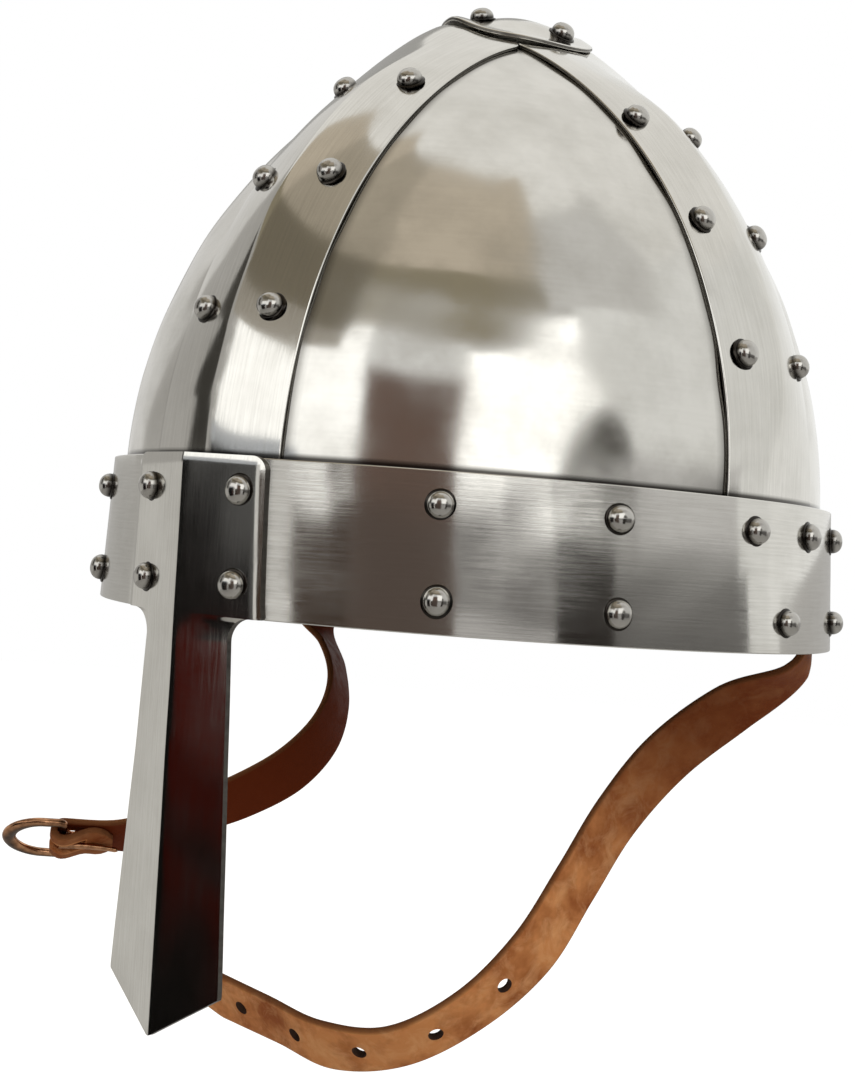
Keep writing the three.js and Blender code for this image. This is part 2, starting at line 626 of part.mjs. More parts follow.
// A D outline: straight along the bar and rounded at the far end
function frameOutline(half, near, far) {
  const outline = new THREE.Path();
  const roundLength = (far - near) * FRAME_ROUND;
  outline.moveTo(near, -half);
  outline.lineTo(far - roundLength, -half);
  outline.absellipse(far - roundLength, 0, roundLength, half, -Math.PI / 2, Math.PI / 2, false);
  outline.lineTo(near, half);
  outline.closePath();
  return outline.getPoints(FRAME_ROUND_STEPS);
}

const innerHalf = FRAME_HALF - WIRE;
const frameShape = new THREE.Shape(frameOutline(
  FRAME_HALF - WIRE_BEVEL, -WIRE / 2 + WIRE_BEVEL, FRAME_LENGTH - WIRE_BEVEL,
));
frameShape.holes.push(new THREE.Path(frameOutline(
  innerHalf + WIRE_BEVEL, WIRE / 2 - WIRE_BEVEL, FRAME_LENGTH - WIRE + WIRE_BEVEL,
)));
const frame = new THREE.ExtrudeGeometry(frameShape, {
  depth: WIRE - 2 * WIRE_BEVEL,
  bevelEnabled: true,
  bevelSize: WIRE_BEVEL,
  bevelThickness: WIRE_BEVEL,
  bevelSegments: 1,
}).translate(0, 0, -WIRE / 2 + WIRE_BEVEL);
addBucklePart('buckle_frame', frame);

// The tongue: an eye round the bar and a tapered pin that lies back along the strap
const eyeInner = BAR_RADIUS + BAR_CLEAR;
const eyeOuter = eyeInner + TONGUE.wall;
const eyeProfile = [
  new THREE.Vector2(eyeInner, -TONGUE.half),
  new THREE.Vector2(eyeOuter, -TONGUE.half),
  new THREE.Vector2(eyeOuter, TONGUE.half),
  new THREE.Vector2(eyeInner, TONGUE.half),
  new THREE.Vector2(eyeInner, -TONGUE.half),
];
const eye = new THREE.LatheGeometry(eyeProfile, EYE_SIDES);
const pinStart = new THREE.Vector3(TONGUE_ROOT_AHEAD, 0, -(eyeInner + eyeOuter) / 2);
const pinEnd = new THREE.Vector3(-TONGUE.length, 0, -TONGUE.lie);
const pinWay = pinEnd.clone().sub(pinStart);
const pin = new THREE.CylinderGeometry(TONGUE.tip, TONGUE.root, pinWay.length(), TONGUE.sides)
  .applyMatrix4(placement(pinStart.clone().lerp(pinEnd, 0.5), pinWay.normalize()));
addBucklePart('buckle_tongue', cut(join(eye, [pin]), [
  new THREE.CylinderGeometry(eyeInner, eyeInner, 4 * TONGUE.half, EYE_SIDES),
]));

export default helmet;
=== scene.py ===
"""Looks of a Norman nasal helmet: polished steel skull and nasal, rivets, leather chin strap and buckle.

Laid out as an add-on: settings, one operator for each group of pieces, and a sidebar panel.
All lengths are metres, in the frame of the solids: -Y is ahead of the wearer, +X the wearer's left.
"""
import math

import bpy
import numpy as np
from bpy.props import FloatProperty, FloatVectorProperty, PointerProperty
from mathutils import Matrix


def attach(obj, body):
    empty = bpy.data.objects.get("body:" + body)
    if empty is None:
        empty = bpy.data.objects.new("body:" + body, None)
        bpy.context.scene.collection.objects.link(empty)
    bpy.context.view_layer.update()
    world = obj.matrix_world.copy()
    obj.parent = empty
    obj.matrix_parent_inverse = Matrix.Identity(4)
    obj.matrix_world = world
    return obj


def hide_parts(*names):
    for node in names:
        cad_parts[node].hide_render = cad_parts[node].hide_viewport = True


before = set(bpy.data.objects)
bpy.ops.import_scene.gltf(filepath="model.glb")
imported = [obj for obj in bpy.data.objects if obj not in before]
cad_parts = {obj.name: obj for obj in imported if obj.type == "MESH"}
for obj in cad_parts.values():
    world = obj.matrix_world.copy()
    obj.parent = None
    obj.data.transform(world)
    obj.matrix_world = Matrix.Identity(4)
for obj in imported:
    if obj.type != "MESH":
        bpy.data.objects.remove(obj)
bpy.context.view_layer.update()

bl_info = {
    "name": "Norman nasal helmet",
    "version": (1, 0, 0),
    "blender": (4, 5, 0),
    "location": "View3D > Sidebar > Helmet",
    "description": "Makes the visible pieces, finishes and stage of a riveted nasal helmet",
    "category": "Object",
}

BODY = "helmet"
MM = 0.001
SEED = 1066
FULL_TURN = 2 * math.pi
SIDES = (("left", 1), ("right", -1))

# Material places of a sheet's polished face, sheared edges and inner face
OUTER, EDGE, INNER = 0, 1, 2

# Sockets of a colour mix, by number because its other kinds of socket have the same names
MIX_SHARE, MIX_FIRST, MIX_SECOND, MIX_RESULT = 0, 6, 7, 2

# The four bands: the angle that each faces, the distance in millimetres of its rivet columns from its ridge, and how
# far the dome leans in at each of its rivet rows, with angles in degrees
BANDS = (
    {"name": "front", "facing": 0.0, "rivets": 11.0, "leans": (16.7, 31.8, 46.8)},
    {"name": "left", "facing": 88.5, "rivets": 13.2, "leans": (16.4, 31.0, 45.0)},
    {"name": "back", "facing": 180.0, "rivets": 11.0, "leans": (16.7, 31.8, 46.8)},
    {"name": "right", "facing": 271.5, "rivets": 13.2, "leans": (16.4, 31.0, 45.0)},
)
NASAL_BAND = "front"

# Ridges: share of the front ridge that starts behind the nasal, leans in degrees over which it grows,
# leans over which every ridge flattens, and the share of its rise that it loses there
NASAL_RIDGE, RIDGE_GROWS, RIDGE_FLATTENS, RIDGE_LOSS = 0.3, (5, 32), (44, 58), 0.9

# Brow's bulge behind the nasal: reach in half bands, rise as a multiple of the front ridge's start, and rounding of
# its foot
BULGE_REACH, BULGE_RISE, BULGE_EASE = 1.75, 1.5, 0.12

# Sheets lifted under the cap: leans in degrees over which they rise and then ease off, the share that they ease off,
# and the share of the way from the cap's low side to its high side at which they are fully up
LIFT_GROWS, LIFT_EASES, LIFT_EASED, LIFT_FULL = (44, 64.5), (62, 67), 0.65, 0.4

# Hammered waves: their lengths, the sum that counts as full height, and shares of it on each kind of sheet
DENT_LENGTHS, DENT_FULL = (0.052, 0.041, 0.033, 0.027, 0.022, 0.017), 0.06
BAND_DENTS, BROW_DENTS, CAP_DENTS = 0.6, 0.3, 0.9

# Painted shade, with some dirt, along seams where sheets meet: its start above the brow band's edge, and its reach and
# depth on the plates beside the bands, on the plates above the brow band and on the bands above it
SEAM_SHADE_START = 0.0008
SIDE_SHADE, PLATE_SHADE, BAND_SHADE = (0.0036, 0.62), (0.0013, 0.96), (0.0012, 0.94)

# Grids of the sheets, in rows and columns or sides, and how strongly lines crowd toward a foot or a ridge
WALL_ROWS, PLATE_GRID, BAND_GRID, BROW_GRID = 6, (92, 110), (120, 41), (15, 420)
NASAL_COLUMNS, CAP_GRID = 81, (26, 96)
FOOT_CROWDING, BAND_CROWDING, NASAL_CROWDING = 1.4, 1.35, 1.5

# Rivets of the brow band: angles of the pairs, heights of the rows in millimetres, and half the angle between the
# upper two over each side and back band
BROW_PAIRS = (35.0, 59.0, 111.5, 146.0)
BROW_ROWS = {"upper": 31.0, "lower": 8.0}
SIDE_SPREAD = 7.0

# Rivet heads: shares of the radius where the dome and the seat ring end, the seat ring being a dark ring of painted
# contact shadow; the upright rim's share of the height, and the dome's root; powers and sides of heads and of hammered
# tails; spread of size and lean; and the share of the height over which painted shade darkens the head's lower part
DOME_SHARE, SHADE_RING_SHARE, RIM_SHARE, DOME_ROOT = 0.9, 1.07, 0.16, 2.1
HEAD_POWER, TAIL_POWER, HEAD_SIDES, TAIL_SIDES = 2.3, 5, 36, 20
SIZE_SPREAD, LEAN_SPREAD, HEAD_SHADE = (0.95, 1.05), 0.035, (0.10, 0.55)

# Cap: shares of its radius over which it comes down onto the bands, radii over which its dents fade in, and the radius
# at which its flat map is true
CAP_DRAPES, CAP_DENTS_FADE, CAP_MAP_RADIUS = (0.45, 0.96), (0.002, 0.012), 0.015

# Crown rivets: angle from the front and share of the rivet circle's radius, in the bands' order
CROWN_RIVETS = ((-14, 0.82), (90, 1.0), (180, 1.0), (270, 1.0))

# Nasal outline in millimetres: middle across, middle height and radii of the plate's upper and lower corners and of
# the fillets to the bar, half widths of the plate and of its foot, half widths of the bar at depths, and heights of
# the tip at half widths
PLATE_CORNER, PLATE_FOOT, BAR_FILLET = (20.2, 36.1, 3.5), (22.9, 0.8, 0.8), (20.2, -6.0, 5.8, 6.0)
PLATE_HALF, FOOT_HALF = 23.7, 21.4
BAR_DEPTHS, BAR_HALVES = (6, 35, 65, 92.4), (14.4, 15.9, 17.9, 19.5)
TIP_HALVES, TIP_HEIGHTS = (0.6, 19.5), (-104.6, -92.4)

# Nasal's ridge heights, and falls of its sides, at heights of its edge; and the least step along its ridge
EDGE_HEIGHTS = (-104.6, -92.4, -65, -35, -6, -2.7, -0.7, 0.0, 18, 36.2, 38.6, 39.6)
RIDGE_HEIGHTS = (-104.8, -99, -70, -38, -7, -4, -2, 0.6, 18, 34, 37.5, 39.6)
EDGE_FALLS = (0.2, 0.21, 0.25, 0.31, 0.35, 0.33, 0.31, 0.285, 0.3, 0.315, 0.32, 0.32)
RIDGE_STEP = 0.05

# Heights between which the nasal's left half begins, and over which it narrows
PLATE_BEGINS, PLATE_NARROWS = (-0.004, 0.004), (-0.008, 0.05)

# Chin strap: angle of its riveted ends, heights along them in millimetres, stations between bends, steps of the pointed
# tail and the share of the line that they take, number of holes, and where in its thickness the flesh side begins
STRAP_TURN, STRAP_END_HEIGHTS, PER_BEND = 111.5, (21.0, 10.0, 1.5), 14
TAIL_STEPS, TAIL_SHARE, HOLES, FLESH_BEGINS = 26, 0.08, 5, (-0.4, 0.6)

# Darkening of the leather: on the left strap a painted shadow under the brow band's rim, its depth and the distances
# over which it fades below the rim; on the right strap a dark stain, its depth and the stations from the bar over which
# it grows
LEFT_RIM_SHADE, LEFT_RIM_SHADE_FADES, FOLD_STAIN, FOLD_STAIN_GROWS = 0.78, (0.03, 0.1), 0.62, (-14, 6)

# Chin strap bends in millimetres: place, then the upper edge's rise above level and swing from -Y toward +X
LEFT_BENDS = np.array((
    (91.0, 36.8, -5.8, 9, 9), (73.5, 31.4, -18.8, 40, -20), (59.0, 22.8, -34.1, 41, -25),
    (51.0, 10.8, -51.7, 38, -15), (47.6, -2.6, -70.2, 37, -12), (43.7, -15.9, -88.7, 38, -13),
    (33.3, -28.1, -104.9, 39, -2), (16.9, -38.4, -117.0, 44, 2), (-4.2, -43.3, -120.9, 59, 2),
    (-26.9, -42.3, -119.0, 60, 7), (-61.0, -42.1, -115.5, 63, 12),
))
RIGHT_BENDS = np.array((
    (-92.9, 35.6, -8.1, 17, -6), (-79.2, 30.3, -18.5, 35, 4), (-68.0, 22.1, -30.0, 44, 10),
    (-61.8, 10.3, -42.0, 49, 5), (-62.9, -3.4, -53.3, 53, 1), (-70.9, -16.6, -62.4, 53, 11),
    (-81.9, -29.1, -69.5, 49, 22), (-92.9, -42.1, -76.4, 42, 32), (-106.5, -58.0, -76.0, 38, 38),
))

# Photograph's camera: azimuth, elevation and roll in degrees, distance, place in its own plane, and lens
CAMERA = {"azimuth": 38.8, "elevation": -0.2, "roll": 4.46, "distance": 0.5194,
          "right": -0.01158, "up": 0.02385, "lens": 57.84}

# Metal finishes: bright and dull colours, brightness of the dull one, roughness where bright and where dull,
# scales of the patches and streaks, height of the relief, and the streaks' share of the wear
METALS = {
    "worn_steel_plate": ("steel", "steel_dull", 1.0, (0.09, 0.20), (48.0, 40.0), 0.4e-6, 0.12),
    "worn_steel_band": ("steel", "steel_dull", 1.0, (0.07, 0.17), (55.0, 60.0), 2.5e-6, 0.5),
    "worn_steel_nasal": ("steel", "steel_dull", 1.0, (0.06, 0.15), (55.0, 60.0), 2e-6, 0.5),
    "dull_inner_steel": ("steel_dull", "rivet_dull", 1.0, (0.32, 0.55), (90.0, 60.0), 2e-5, 0.5),
    # Sheet edges: dark, partly as painted shade of the gap beneath each edge
    "sheared_edge": ("edge", "edge", 0.5, (0.3, 0.5), (300.0, 300.0), 1e-5, 0.5),
    "worn_rivet_steel": ("rivet", "rivet_dull", 1.0, (0.10, 0.24), (260.0, 200.0), 1e-5, 0.5),
    "tarnished_copper_brass": ("brass", "brass_dark", 1.0, (0.10, 0.30), (300.0, 240.0), 3e-5, 0.5),
}

# Reflected studio: sphere patches with azimuth and elevation ranges in degrees, share of the width left at the top,
# radius and light. Nearer patches stand in front of farther ones
CARDS = (
    ("card_zenith", (-180, 180), (77, 90), 1.0, 1.50, (0.93, 0.92, 0.89)),
    ("card_back_ceiling", (72, 285), (46, 77), 1.0, 1.50, (0.90, 0.89, 0.86)),
    ("card_grey_ceiling", (70, 110), (42, 62), 1.0, 1.47, (0.66, 0.65, 0.63)),
    ("card_warm_ceiling", (-75, 72), (53, 77), 1.0, 1.48, (0.58, 0.51, 0.41)),
    ("card_warm_beam", (-75, 70), (41, 54), 1.0, 1.46, (0.29, 0.255, 0.18)),
    ("card_left_ceiling", (-42, 4), (53, 77), 1.0, 1.44, (0.44, 0.39, 0.31)),
    ("card_left_beam", (-42, 4), (38, 54), 1.0, 1.42, (0.19, 0.165, 0.12)),
    ("card_left_lintel", (-42, 3), (30, 39), 1.0, 1.44, (0.38, 0.35, 0.30)),
    ("card_white_wall", (-37, 15), (2, 42), 1.0, 1.50, (1.45, 1.45, 1.43)),
    ("card_grey_wall", (14, 42), (20, 42), 1.0, 1.50, (0.84, 0.84, 0.83)),
    ("card_window", (41, 80), (2, 38), 1.0, 1.50, (1.75, 1.75, 1.72)),
    ("card_side_wall", (79, 135), (2, 46), 1.0, 1.50, (0.84, 0.84, 0.82)),
    ("card_far_wall", (135, 215), (2, 46), 1.0, 1.50, (0.92, 0.92, 0.90)),
    ("card_back_wall", (215, 240), (-25, 46), 1.0, 1.50, (0.40, 0.395, 0.38)),
    ("card_left_wall", (240, 327), (-28, 46), 1.0, 1.50, (0.46, 0.45, 0.43)),
    ("card_left_window", (238, 266), (4, 46), 1.0, 1.46, (0.72, 0.71, 0.69)),
    ("card_low_left", (275, 318), (-28, 4), 1.0, 1.46, (0.62, 0.61, 0.585)),
    ("card_ridge_foot", (299, 316), (4, 15), 1.0, 1.40, (0.045, 0.042, 0.037)),
    ("card_ridge_middle", (295, 312), (14, 25), 1.0, 1.40, (0.05, 0.047, 0.041)),
    ("card_ridge_upper", (288, 308), (24, 37), 1.0, 1.40, (0.065, 0.061, 0.054)),
    ("card_brown_screen", (15, 43), (-40, 26), 0.9, 1.32, (0.150, 0.100, 0.080)),
    ("card_dark_post", (70, 88), (9.4, 23), 0.1, 1.32, (0.085, 0.078, 0.068)),
    ("card_front_strip", (-5.5, 2.2), (-40, 9), 1.0, 1.30, (0.72, 0.71, 0.69)),
    ("card_low_front", (2.3, 16), (-40, 3.6), 1.0, 1.30, (0.052, 0.034, 0.024)),
    ("card_mid_front", (11, 16), (3.5, 6.0), 1.0, 1.30, (0.052, 0.034, 0.024)),
    ("card_low_screen", (15, 42), (-40, 5.6), 1.0, 1.28, (0.105, 0.080, 0.068)),
    ("card_window_foot", (41, 69), (-40, 2.5), 1.0, 1.32, (0.50, 0.49, 0.48)),
    ("card_low_window", (41, 56), (-40, 5.2), 1.0, 1.34, (0.18, 0.172, 0.168)),
    ("card_low_pane", (55, 70), (-40, 6.2), 1.0, 1.34, (0.17, 0.162, 0.158)),
    ("card_mid_window", (41, 56), (5.1, 6.3), 1.0, 1.36, (0.42, 0.41, 0.40)),
    ("card_mid_pane", (55, 70), (6.1, 7.2), 1.0, 1.36, (0.42, 0.41, 0.40)),
    ("card_high_window", (41, 56), (6.2, 6.9), 1.0, 1.36, (0.9, 0.89, 0.88)),
    ("card_high_pane", (55, 66), (7.1, 7.7), 1.0, 1.36, (1.0, 0.99, 0.98)),
    ("card_low_post", (67, 82), (-40, 7.4), 1.0, 1.30, (0.025, 0.021, 0.018)),
    ("card_mid_post", (66, 88), (7.3, 8.4), 1.0, 1.30, (0.38, 0.37, 0.36)),
    ("card_low_side", (82, 125), (-12, 5.6), 1.0, 1.36, (0.145, 0.14, 0.135)),
    ("card_mid_side", (82, 121), (5.5, 7.8), 1.0, 1.36, (0.34, 0.335, 0.325)),
    ("card_high_side", (86, 121), (7.7, 10.5), 1.0, 1.38, (0.62, 0.61, 0.60)),
    ("card_low_far", (140, 245), (-12, 4), 1.0, 1.36, (0.50, 0.49, 0.475)),
    ("card_dark_screen", (-36, -4.6), (-40, 8), 1.0, 1.20, (0.005, 0.0045, 0.004)),
    ("card_red_strip", (-11, -5), (-9, -3.5), 1.0, 1.18, (0.05, 0.0045, 0.0022)),
    ("card_red_middle", (-13.6, -8), (-13, -9), 1.0, 1.18, (0.034, 0.0032, 0.0016)),
    ("card_red_foot", (-17.4, -12), (-22, -13), 1.0, 1.18, (0.03, 0.0028, 0.0014)),
    ("card_dim_strip", (-10, -4.6), (-3.5, 8), 1.0, 1.18, (0.085, 0.084, 0.083)),
    ("card_wall_foot", (-36, -4), (7.6, 12.5), 1.0, 1.22, (0.50, 0.52, 0.55)),
)


# Settings

def a_length(name, description, default):
    """A length in metres."""
    return FloatProperty(name=name, description=description, default=default, unit="LENGTH")


def a_number(name, description, default):
    """A plain number."""
    return FloatProperty(name=name, description=description, default=default)


def an_angle(name, description, degrees):
    """An angle, whose default is given in degrees."""
    return FloatProperty(name=name, description=description, default=math.radians(degrees), subtype="ANGLE")


def a_colour(name, description, default):
    """A colour as three linear values."""
    return FloatVectorProperty(name=name, description=description, default=default, size=3, subtype="COLOR")


def a_group(name, kind):
    """A group of settings, described by its own docstring."""
    return PointerProperty(name=name, description=kind.__doc__, type=kind)


class SkullSizes(bpy.types.PropertyGroup):
    """Sizes of the skull, its bands and its brow band"""

    plan_power: a_number("Plan power", "Power of the superellipse that the plan follows", 1.85)
    plan_ease: a_number("Plan ease", "How softly the plan turns at its four quarter points", 0.06)
    half_length: a_length("Half length", "Front to back, at the brow band's top edge", 0.1107)
    half_width: a_length("Half width", "Side to side, at the brow band's top edge", 0.1012)
    rim_flare: a_length("Rim flare", "How much further each side stands out at the rim", 0.0033)
    brow_height: a_length("Brow height", "From the rim to the brow band's top edge", 0.0392)
    crown_rise: a_length("Crown rise", "From the brow band's top edge to the skull's point", 0.1368)
    brow_lean: an_angle("Brow lean", "How far the dome's foot leans in", 2.2)
    plate_top_lean: an_angle("Plate top lean", "Lean of the dome where the plates end", 63)
    band_top_lean: an_angle("Band top lean", "Lean of the dome where the bands end", 67)
    sheet: a_length("Sheet", "Thickness of plates and bands", 0.0012)
    seat: a_length("Seat", "Gap between sheets that lie on each other", 0.0004)
    band_stands: a_length("Band stands", "From the plates to the bands' outer face", 0.00115)
    lower_edge: a_length("Lower edge", "Height of the plates' lower edges inside the brow band", 0.003)
    plate_tuck: a_length("Plate tuck", "From a band's middle to the plate's edge under it", 0.010)
    band_half_brow: a_length("Band half at brow", "Half width of a band at the brow", 0.0214)
    band_half_crown: a_length("Band half at crown", "Half width of a band at the crown", 0.018)
    ridge: a_length("Ridge", "Rise of a band's middle ridge", 0.0037)
    ridge_fade: a_length("Ridge fade", "Height over which a ridge grows above the brow band", 0.04)
    ridge_round: a_number("Ridge round", "Share of a band's half width that rounds its ridge", 0.03)
    mitre_gap: a_length("Mitre gap", "From a band's end to the mitre line", 0.00006)
    crown_lift: a_length("Crown lift", "How far the sheets rise under the cap's high side", 0.0056)
    dents: a_length("Dents", "Height of the soft hammered waves in the sheet", 0.00014)
    edge_round: a_length("Edge round", "Rounding of sheet edges", 0.00025)


class RivetSizes(bpy.types.PropertyGroup):
    """Sizes of the rivet heads and their hammered tails"""

    radius: a_length("Radius", "Radius of a rivet head", 0.0038)
    height: a_length("Height", "Height of a rivet head", 0.0035)
    tail_radius: a_length("Tail radius", "Radius of the hammered tail inside", 0.0031)
    tail_height: a_length("Tail height", "Height of the hammered tail inside", 0.0011)


class NasalSizes(bpy.types.PropertyGroup):
    """Sizes of the nasal"""

    sheet: a_length("Sheet", "Thickness of the nasal", 0.0015)
    ridge_top: a_length("Ridge at top", "Y of the ridge at the top", -0.1196)
    ridge_tip: a_length("Ridge at tip", "Y of the ridge at the tip", -0.1163)
    ridge_round: a_length("Ridge round", "Distance over which the ridge is rounded", 0.0006)
    plate_short: a_length("Plate short", "How much narrower the plate's left half is at its top", 0.0022)
    side_lip: a_length("Side lip", "Width over which the plate's side edges bend back", 0.0024)
    side_radius: a_length("Side radius", "Radius of the bent side edges", 0.010)
    lip: a_length("Lip", "Height over which the upper edge rolls back", 0.0028)
    lip_radius: a_length("Lip radius", "Radius of the rolled upper edge", 0.014)
    dents: a_length("Dents", "Height of the soft hammered waves", 0.00004)
    edge_round: a_length("Edge round", "Rounding of the nasal's edges", 0.00055)
    rivet_across: a_length("Rivet across", "From the ridge to each rivet column", 0.0154)


class CapSizes(bpy.types.PropertyGroup):
    """Sizes of the crown cap"""

    radius: a_length("Radius", "Radius of the cap", 0.0228)
    drop: a_length("Drop", "From the cap's middle to its edge", 0.0058)
    clear: a_length("Clear", "From the skull's point to the cap's underside", 0.0030)
    cone: a_number("Cone", "Share of the drop that is a straight cone", 0.55)
    point_round: a_length("Point round", "Radius over which the point is rounded", 0.006)
    shift: FloatVectorProperty(name="Shift", description="From the skull's axis to the cap's middle",
                               default=(0.0016, 0.0004), size=2, unit="LENGTH")
    tilt: an_angle("Tilt", "How far the cap tilts", 8)
    tilt_toward: an_angle("Tilt toward", "Angle from the front of the cap's low side", 54)
    rivet_radius: a_length("Rivet circle", "Radius of the cap's rivet circle", 0.0165)


class StrapSizes(bpy.types.PropertyGroup):
    """Sizes of the chin strap and its punched holes"""

    half: a_length("Half width", "Half the strap's width", 0.0085)
    thick: a_length("Thickness", "Thickness of the leather", 0.0022)
    edge_round: a_length("Edge round", "Rounding of the strap's edges", 0.0007)
    end_gap: a_length("End gap", "From the plate to the riveted end", 0.00105)
    tail_point: a_length("Tail point", "Length of the pointed tail", 0.012)
    tail_half: a_length("Tail half", "Half width at the tail's point", 0.0025)
    hole_radius: a_length("Hole radius", "Radius of a punched hole", 0.0022)
    hole_pitch: a_length("Hole pitch", "From one hole to the next", 0.0228)
    first_hole: a_length("First hole", "Along the strap from its first bend", 0.126)
    fold_half: a_length("Fold half", "Half width at the buckle's fold", 0.0064)
    fold_narrows: a_length("Fold narrows", "Length over which the strap narrows to its fold", 0.026)
    fold_tail: a_length("Fold tail", "Length of the folded end", 0.0155)
    fold_closes: a_length("Fold closes", "Distance from the bar where the layers meet", 0.009)


class BuckleSizes(bpy.types.PropertyGroup):
    """Sizes of the buckle's frame and tongue"""

    wire: a_length("Wire", "Thickness of the frame", 0.0026)
    bow_grow: a_length("Bow grows", "Added to half the frame's breadth at its far end", 0.0008)
    half: a_length("Half width", "Half the frame's outer width", 0.011)
    length: a_length("Length", "From the bar to the far end's outer edge", 0.0185)
    round_share: a_number("Round share", "Share of the length that is the rounded far end", 0.62)
    bar_radius: a_length("Bar radius", "Radius of the circle that the bar fits in", 0.00145)
    bar_clear: a_length("Bar clearance", "Gap round the bar", 0.00035)
    eye_wall: a_length("Eye wall", "Thickness of the tongue's eye", 0.0012)
    eye_half: a_length("Eye half", "Half the eye's width", 0.0017)
    tongue_length: a_length("Tongue length", "From the bar to the tongue's tip", 0.017)
    tongue_lie: a_length("Tongue lie", "How far the tip lies off the bar's plane", 0.0029)
    corner: a_length("Corner", "Radius of the bends beside the bar", 0.0016)
    pin_radius: a_length("Pin radius", "Radius of the tongue at the bar", 0.0011)
    pin_taper: a_length("Pin taper", "How much thinner the tongue's radius is at its tip", 0.00035)
    pin_bow: a_length("Pin bow", "How far the tongue bows toward the strap's face", 0.0005)
    slot_half: a_length("Slot half", "Half the width of the strap's slot for the tongue", 0.0024)
    slot_past: a_length("Slot past", "How far the slot's cutters reach past the bar", 0.006)


class Finishes(bpy.types.PropertyGroup):
    """Colours of the steel, leather and buckle"""

    steel: a_colour("Steel", "Polished steel", (0.74, 0.725, 0.685))
    steel_dull: a_colour("Dull steel", "Steel where the polish is worn", (0.60, 0.585, 0.545))
    # Colour of the painted shade at seams, at rivet feet and on the buckle's lower faces, with some dirt in the seams
    grime: a_colour("Grime", "Dark dirt in corners of the metal", (0.035, 0.031, 0.027))
    # Sheared edges: dark, partly as painted shade of the gaps along the seams
    edge: a_colour("Sheet edge", "Dark sheared edges of the sheet", (0.17, 0.16, 0.145))
    rivet: a_colour("Rivet steel", "Rivet heads", (0.54, 0.525, 0.495))
    rivet_dull: a_colour("Dull rivet steel", "Worn rivet heads", (0.42, 0.405, 0.38))
    tan: a_colour("Tan", "Tan leather", (0.77, 0.315, 0.112))
    tan_dark: a_colour("Dark tan", "Oiled leather", (0.37, 0.108, 0.032))
    tan_rubbed: a_colour("Rubbed tan", "Leather where it is rubbed", (0.92, 0.49, 0.23))
    tan_edge: a_colour("Leather edge", "Dark burnished edges", (0.20, 0.080, 0.032))
    # Flesh side: darker than the leather is, as painted shade on the strap in the helmet's shadow; the same colour
    # darkens the stains and the painted shadow under the rim
    flesh: a_colour("Flesh side", "Dark flesh side of the leather", (0.145, 0.026, 0.007))
    brass: a_colour("Copper brass", "The buckle's metal", (0.82, 0.44, 0.24))
    brass_dark: a_colour("Aged brass", "Brown tarnish on the buckle", (0.10, 0.036, 0.015))


class StageSettings(bpy.types.PropertyGroup):
    """The floor and the studio light"""

    floor_height: a_length("Floor height", "Height of the floor", -0.52)
    floor_radius: a_length("Floor radius", "Radius of the floor", 6.0)
    floor_colour: a_colour("Floor colour", "Pale floor", (0.60, 0.595, 0.585))
    floor_glow: a_number("Floor glow", "Light added to the floor where the camera sees it", 0.75)
    room: a_colour("Room", "Colour of the room's soft light", (0.55, 0.54, 0.52))


class HelmetSettings(bpy.types.PropertyGroup):
    """All settings of the helmet"""

    skull: a_group("Skull", SkullSizes)
    rivets: a_group("Rivets", RivetSizes)
    nasal: a_group("Nasal", NasalSizes)
    cap: a_group("Crown cap", CapSizes)
    strap: a_group("Chin strap", StrapSizes)
    buckle: a_group("Buckle", BuckleSizes)
    finish: a_group("Finishes", Finishes)
    stage: a_group("Stage", StageSettings)


# Mesh making

def smoothstep(value, low, high):
    """Cubic step: 0 below low, 1 above high, and 3t^2 - 2t^3 between."""
    t = np.clip((value - low) / (high - low), 0, 1)
    return t * t * (3 - 2 * t)


def unit(vectors):
    """Vectors divided by their lengths."""
    return vectors / np.linalg.norm(vectors, axis=-1, keepdims=True)


def grid_faces(rows, columns, start=0, ring=False, flip=False):
    """Quads of a grid of points in row order: each cell's four corners, a ring's last column meeting its first."""
    per_row = columns if ring else columns + 1
    row, column = np.meshgrid(np.arange(rows), np.arange(columns), indexing="ij")
    after = (column + 1) % per_row
    quads = np.stack((row * per_row + column, row * per_row + after,
                      (row + 1) * per_row + after, (row + 1) * per_row + column), -1).reshape(-1, 4)
    return start + (quads[:, ::-1] if flip else quads)


def copies(polygons, count, step):
    """Polygons repeated for copies of the points that they join, a step of points apart."""
    return [[corner + n * step for corner in polygon] for n in range(count) for polygon in polygons]


def wall(outer, inner, ring=False):
    """A closed sheet between two grids of points: both faces, and strips that join their borders.
    Returns the points, the quads, and each quad's material place."""
    rows, per_row = outer.shape[0] - 1, outer.shape[1]
    columns = per_row if ring else per_row - 1
    count = outer.shape[0] * per_row
    index = np.arange(count).reshape(rows + 1, per_row)
    faces = [grid_faces(rows, columns, 0, ring), grid_faces(rows, columns, count, ring, flip=True)]
    outside = len(faces[0])

    def strip(line, closed):
        near = np.append(line, line[0]) if closed else line
        return np.stack((near[:-1] + count, near[1:] + count, near[1:], near[:-1]), -1)

    faces += [strip(index[0], ring), strip(index[-1][::-1], ring)]
    if not ring:
        faces += [strip(index[::-1, 0], False), strip(index[:, -1], False)]
    quads = np.concatenate(faces)
    points = np.concatenate((outer.reshape(-1, 3), inner.reshape(-1, 3)))
    kinds = np.repeat((OUTER, INNER, EDGE), (outside, outside, len(quads) - 2 * outside)).astype(np.int32)
    return points, quads, kinds


def tube(rings, closed=False):
    """A closed skin over rings of points, carried along a path, with flat ends unless the path is closed.
    Returns the points and the polygons."""
    count, around = rings.shape[:2]
    points = rings.reshape(-1, 3)
    index = np.arange(count * around).reshape(count, around)
    if closed:
        index = np.vstack((index, index[:1]))
    turned = np.roll(index, -1, axis=1)
    quads = np.stack((index[:-1], turned[:-1], turned[1:], index[1:]), -1).reshape(-1, 4)
    polygons = quads.tolist()
    if not closed:
        polygons += [index[0][::-1].tolist(), index[-1].tolist()]
    return points, polygons


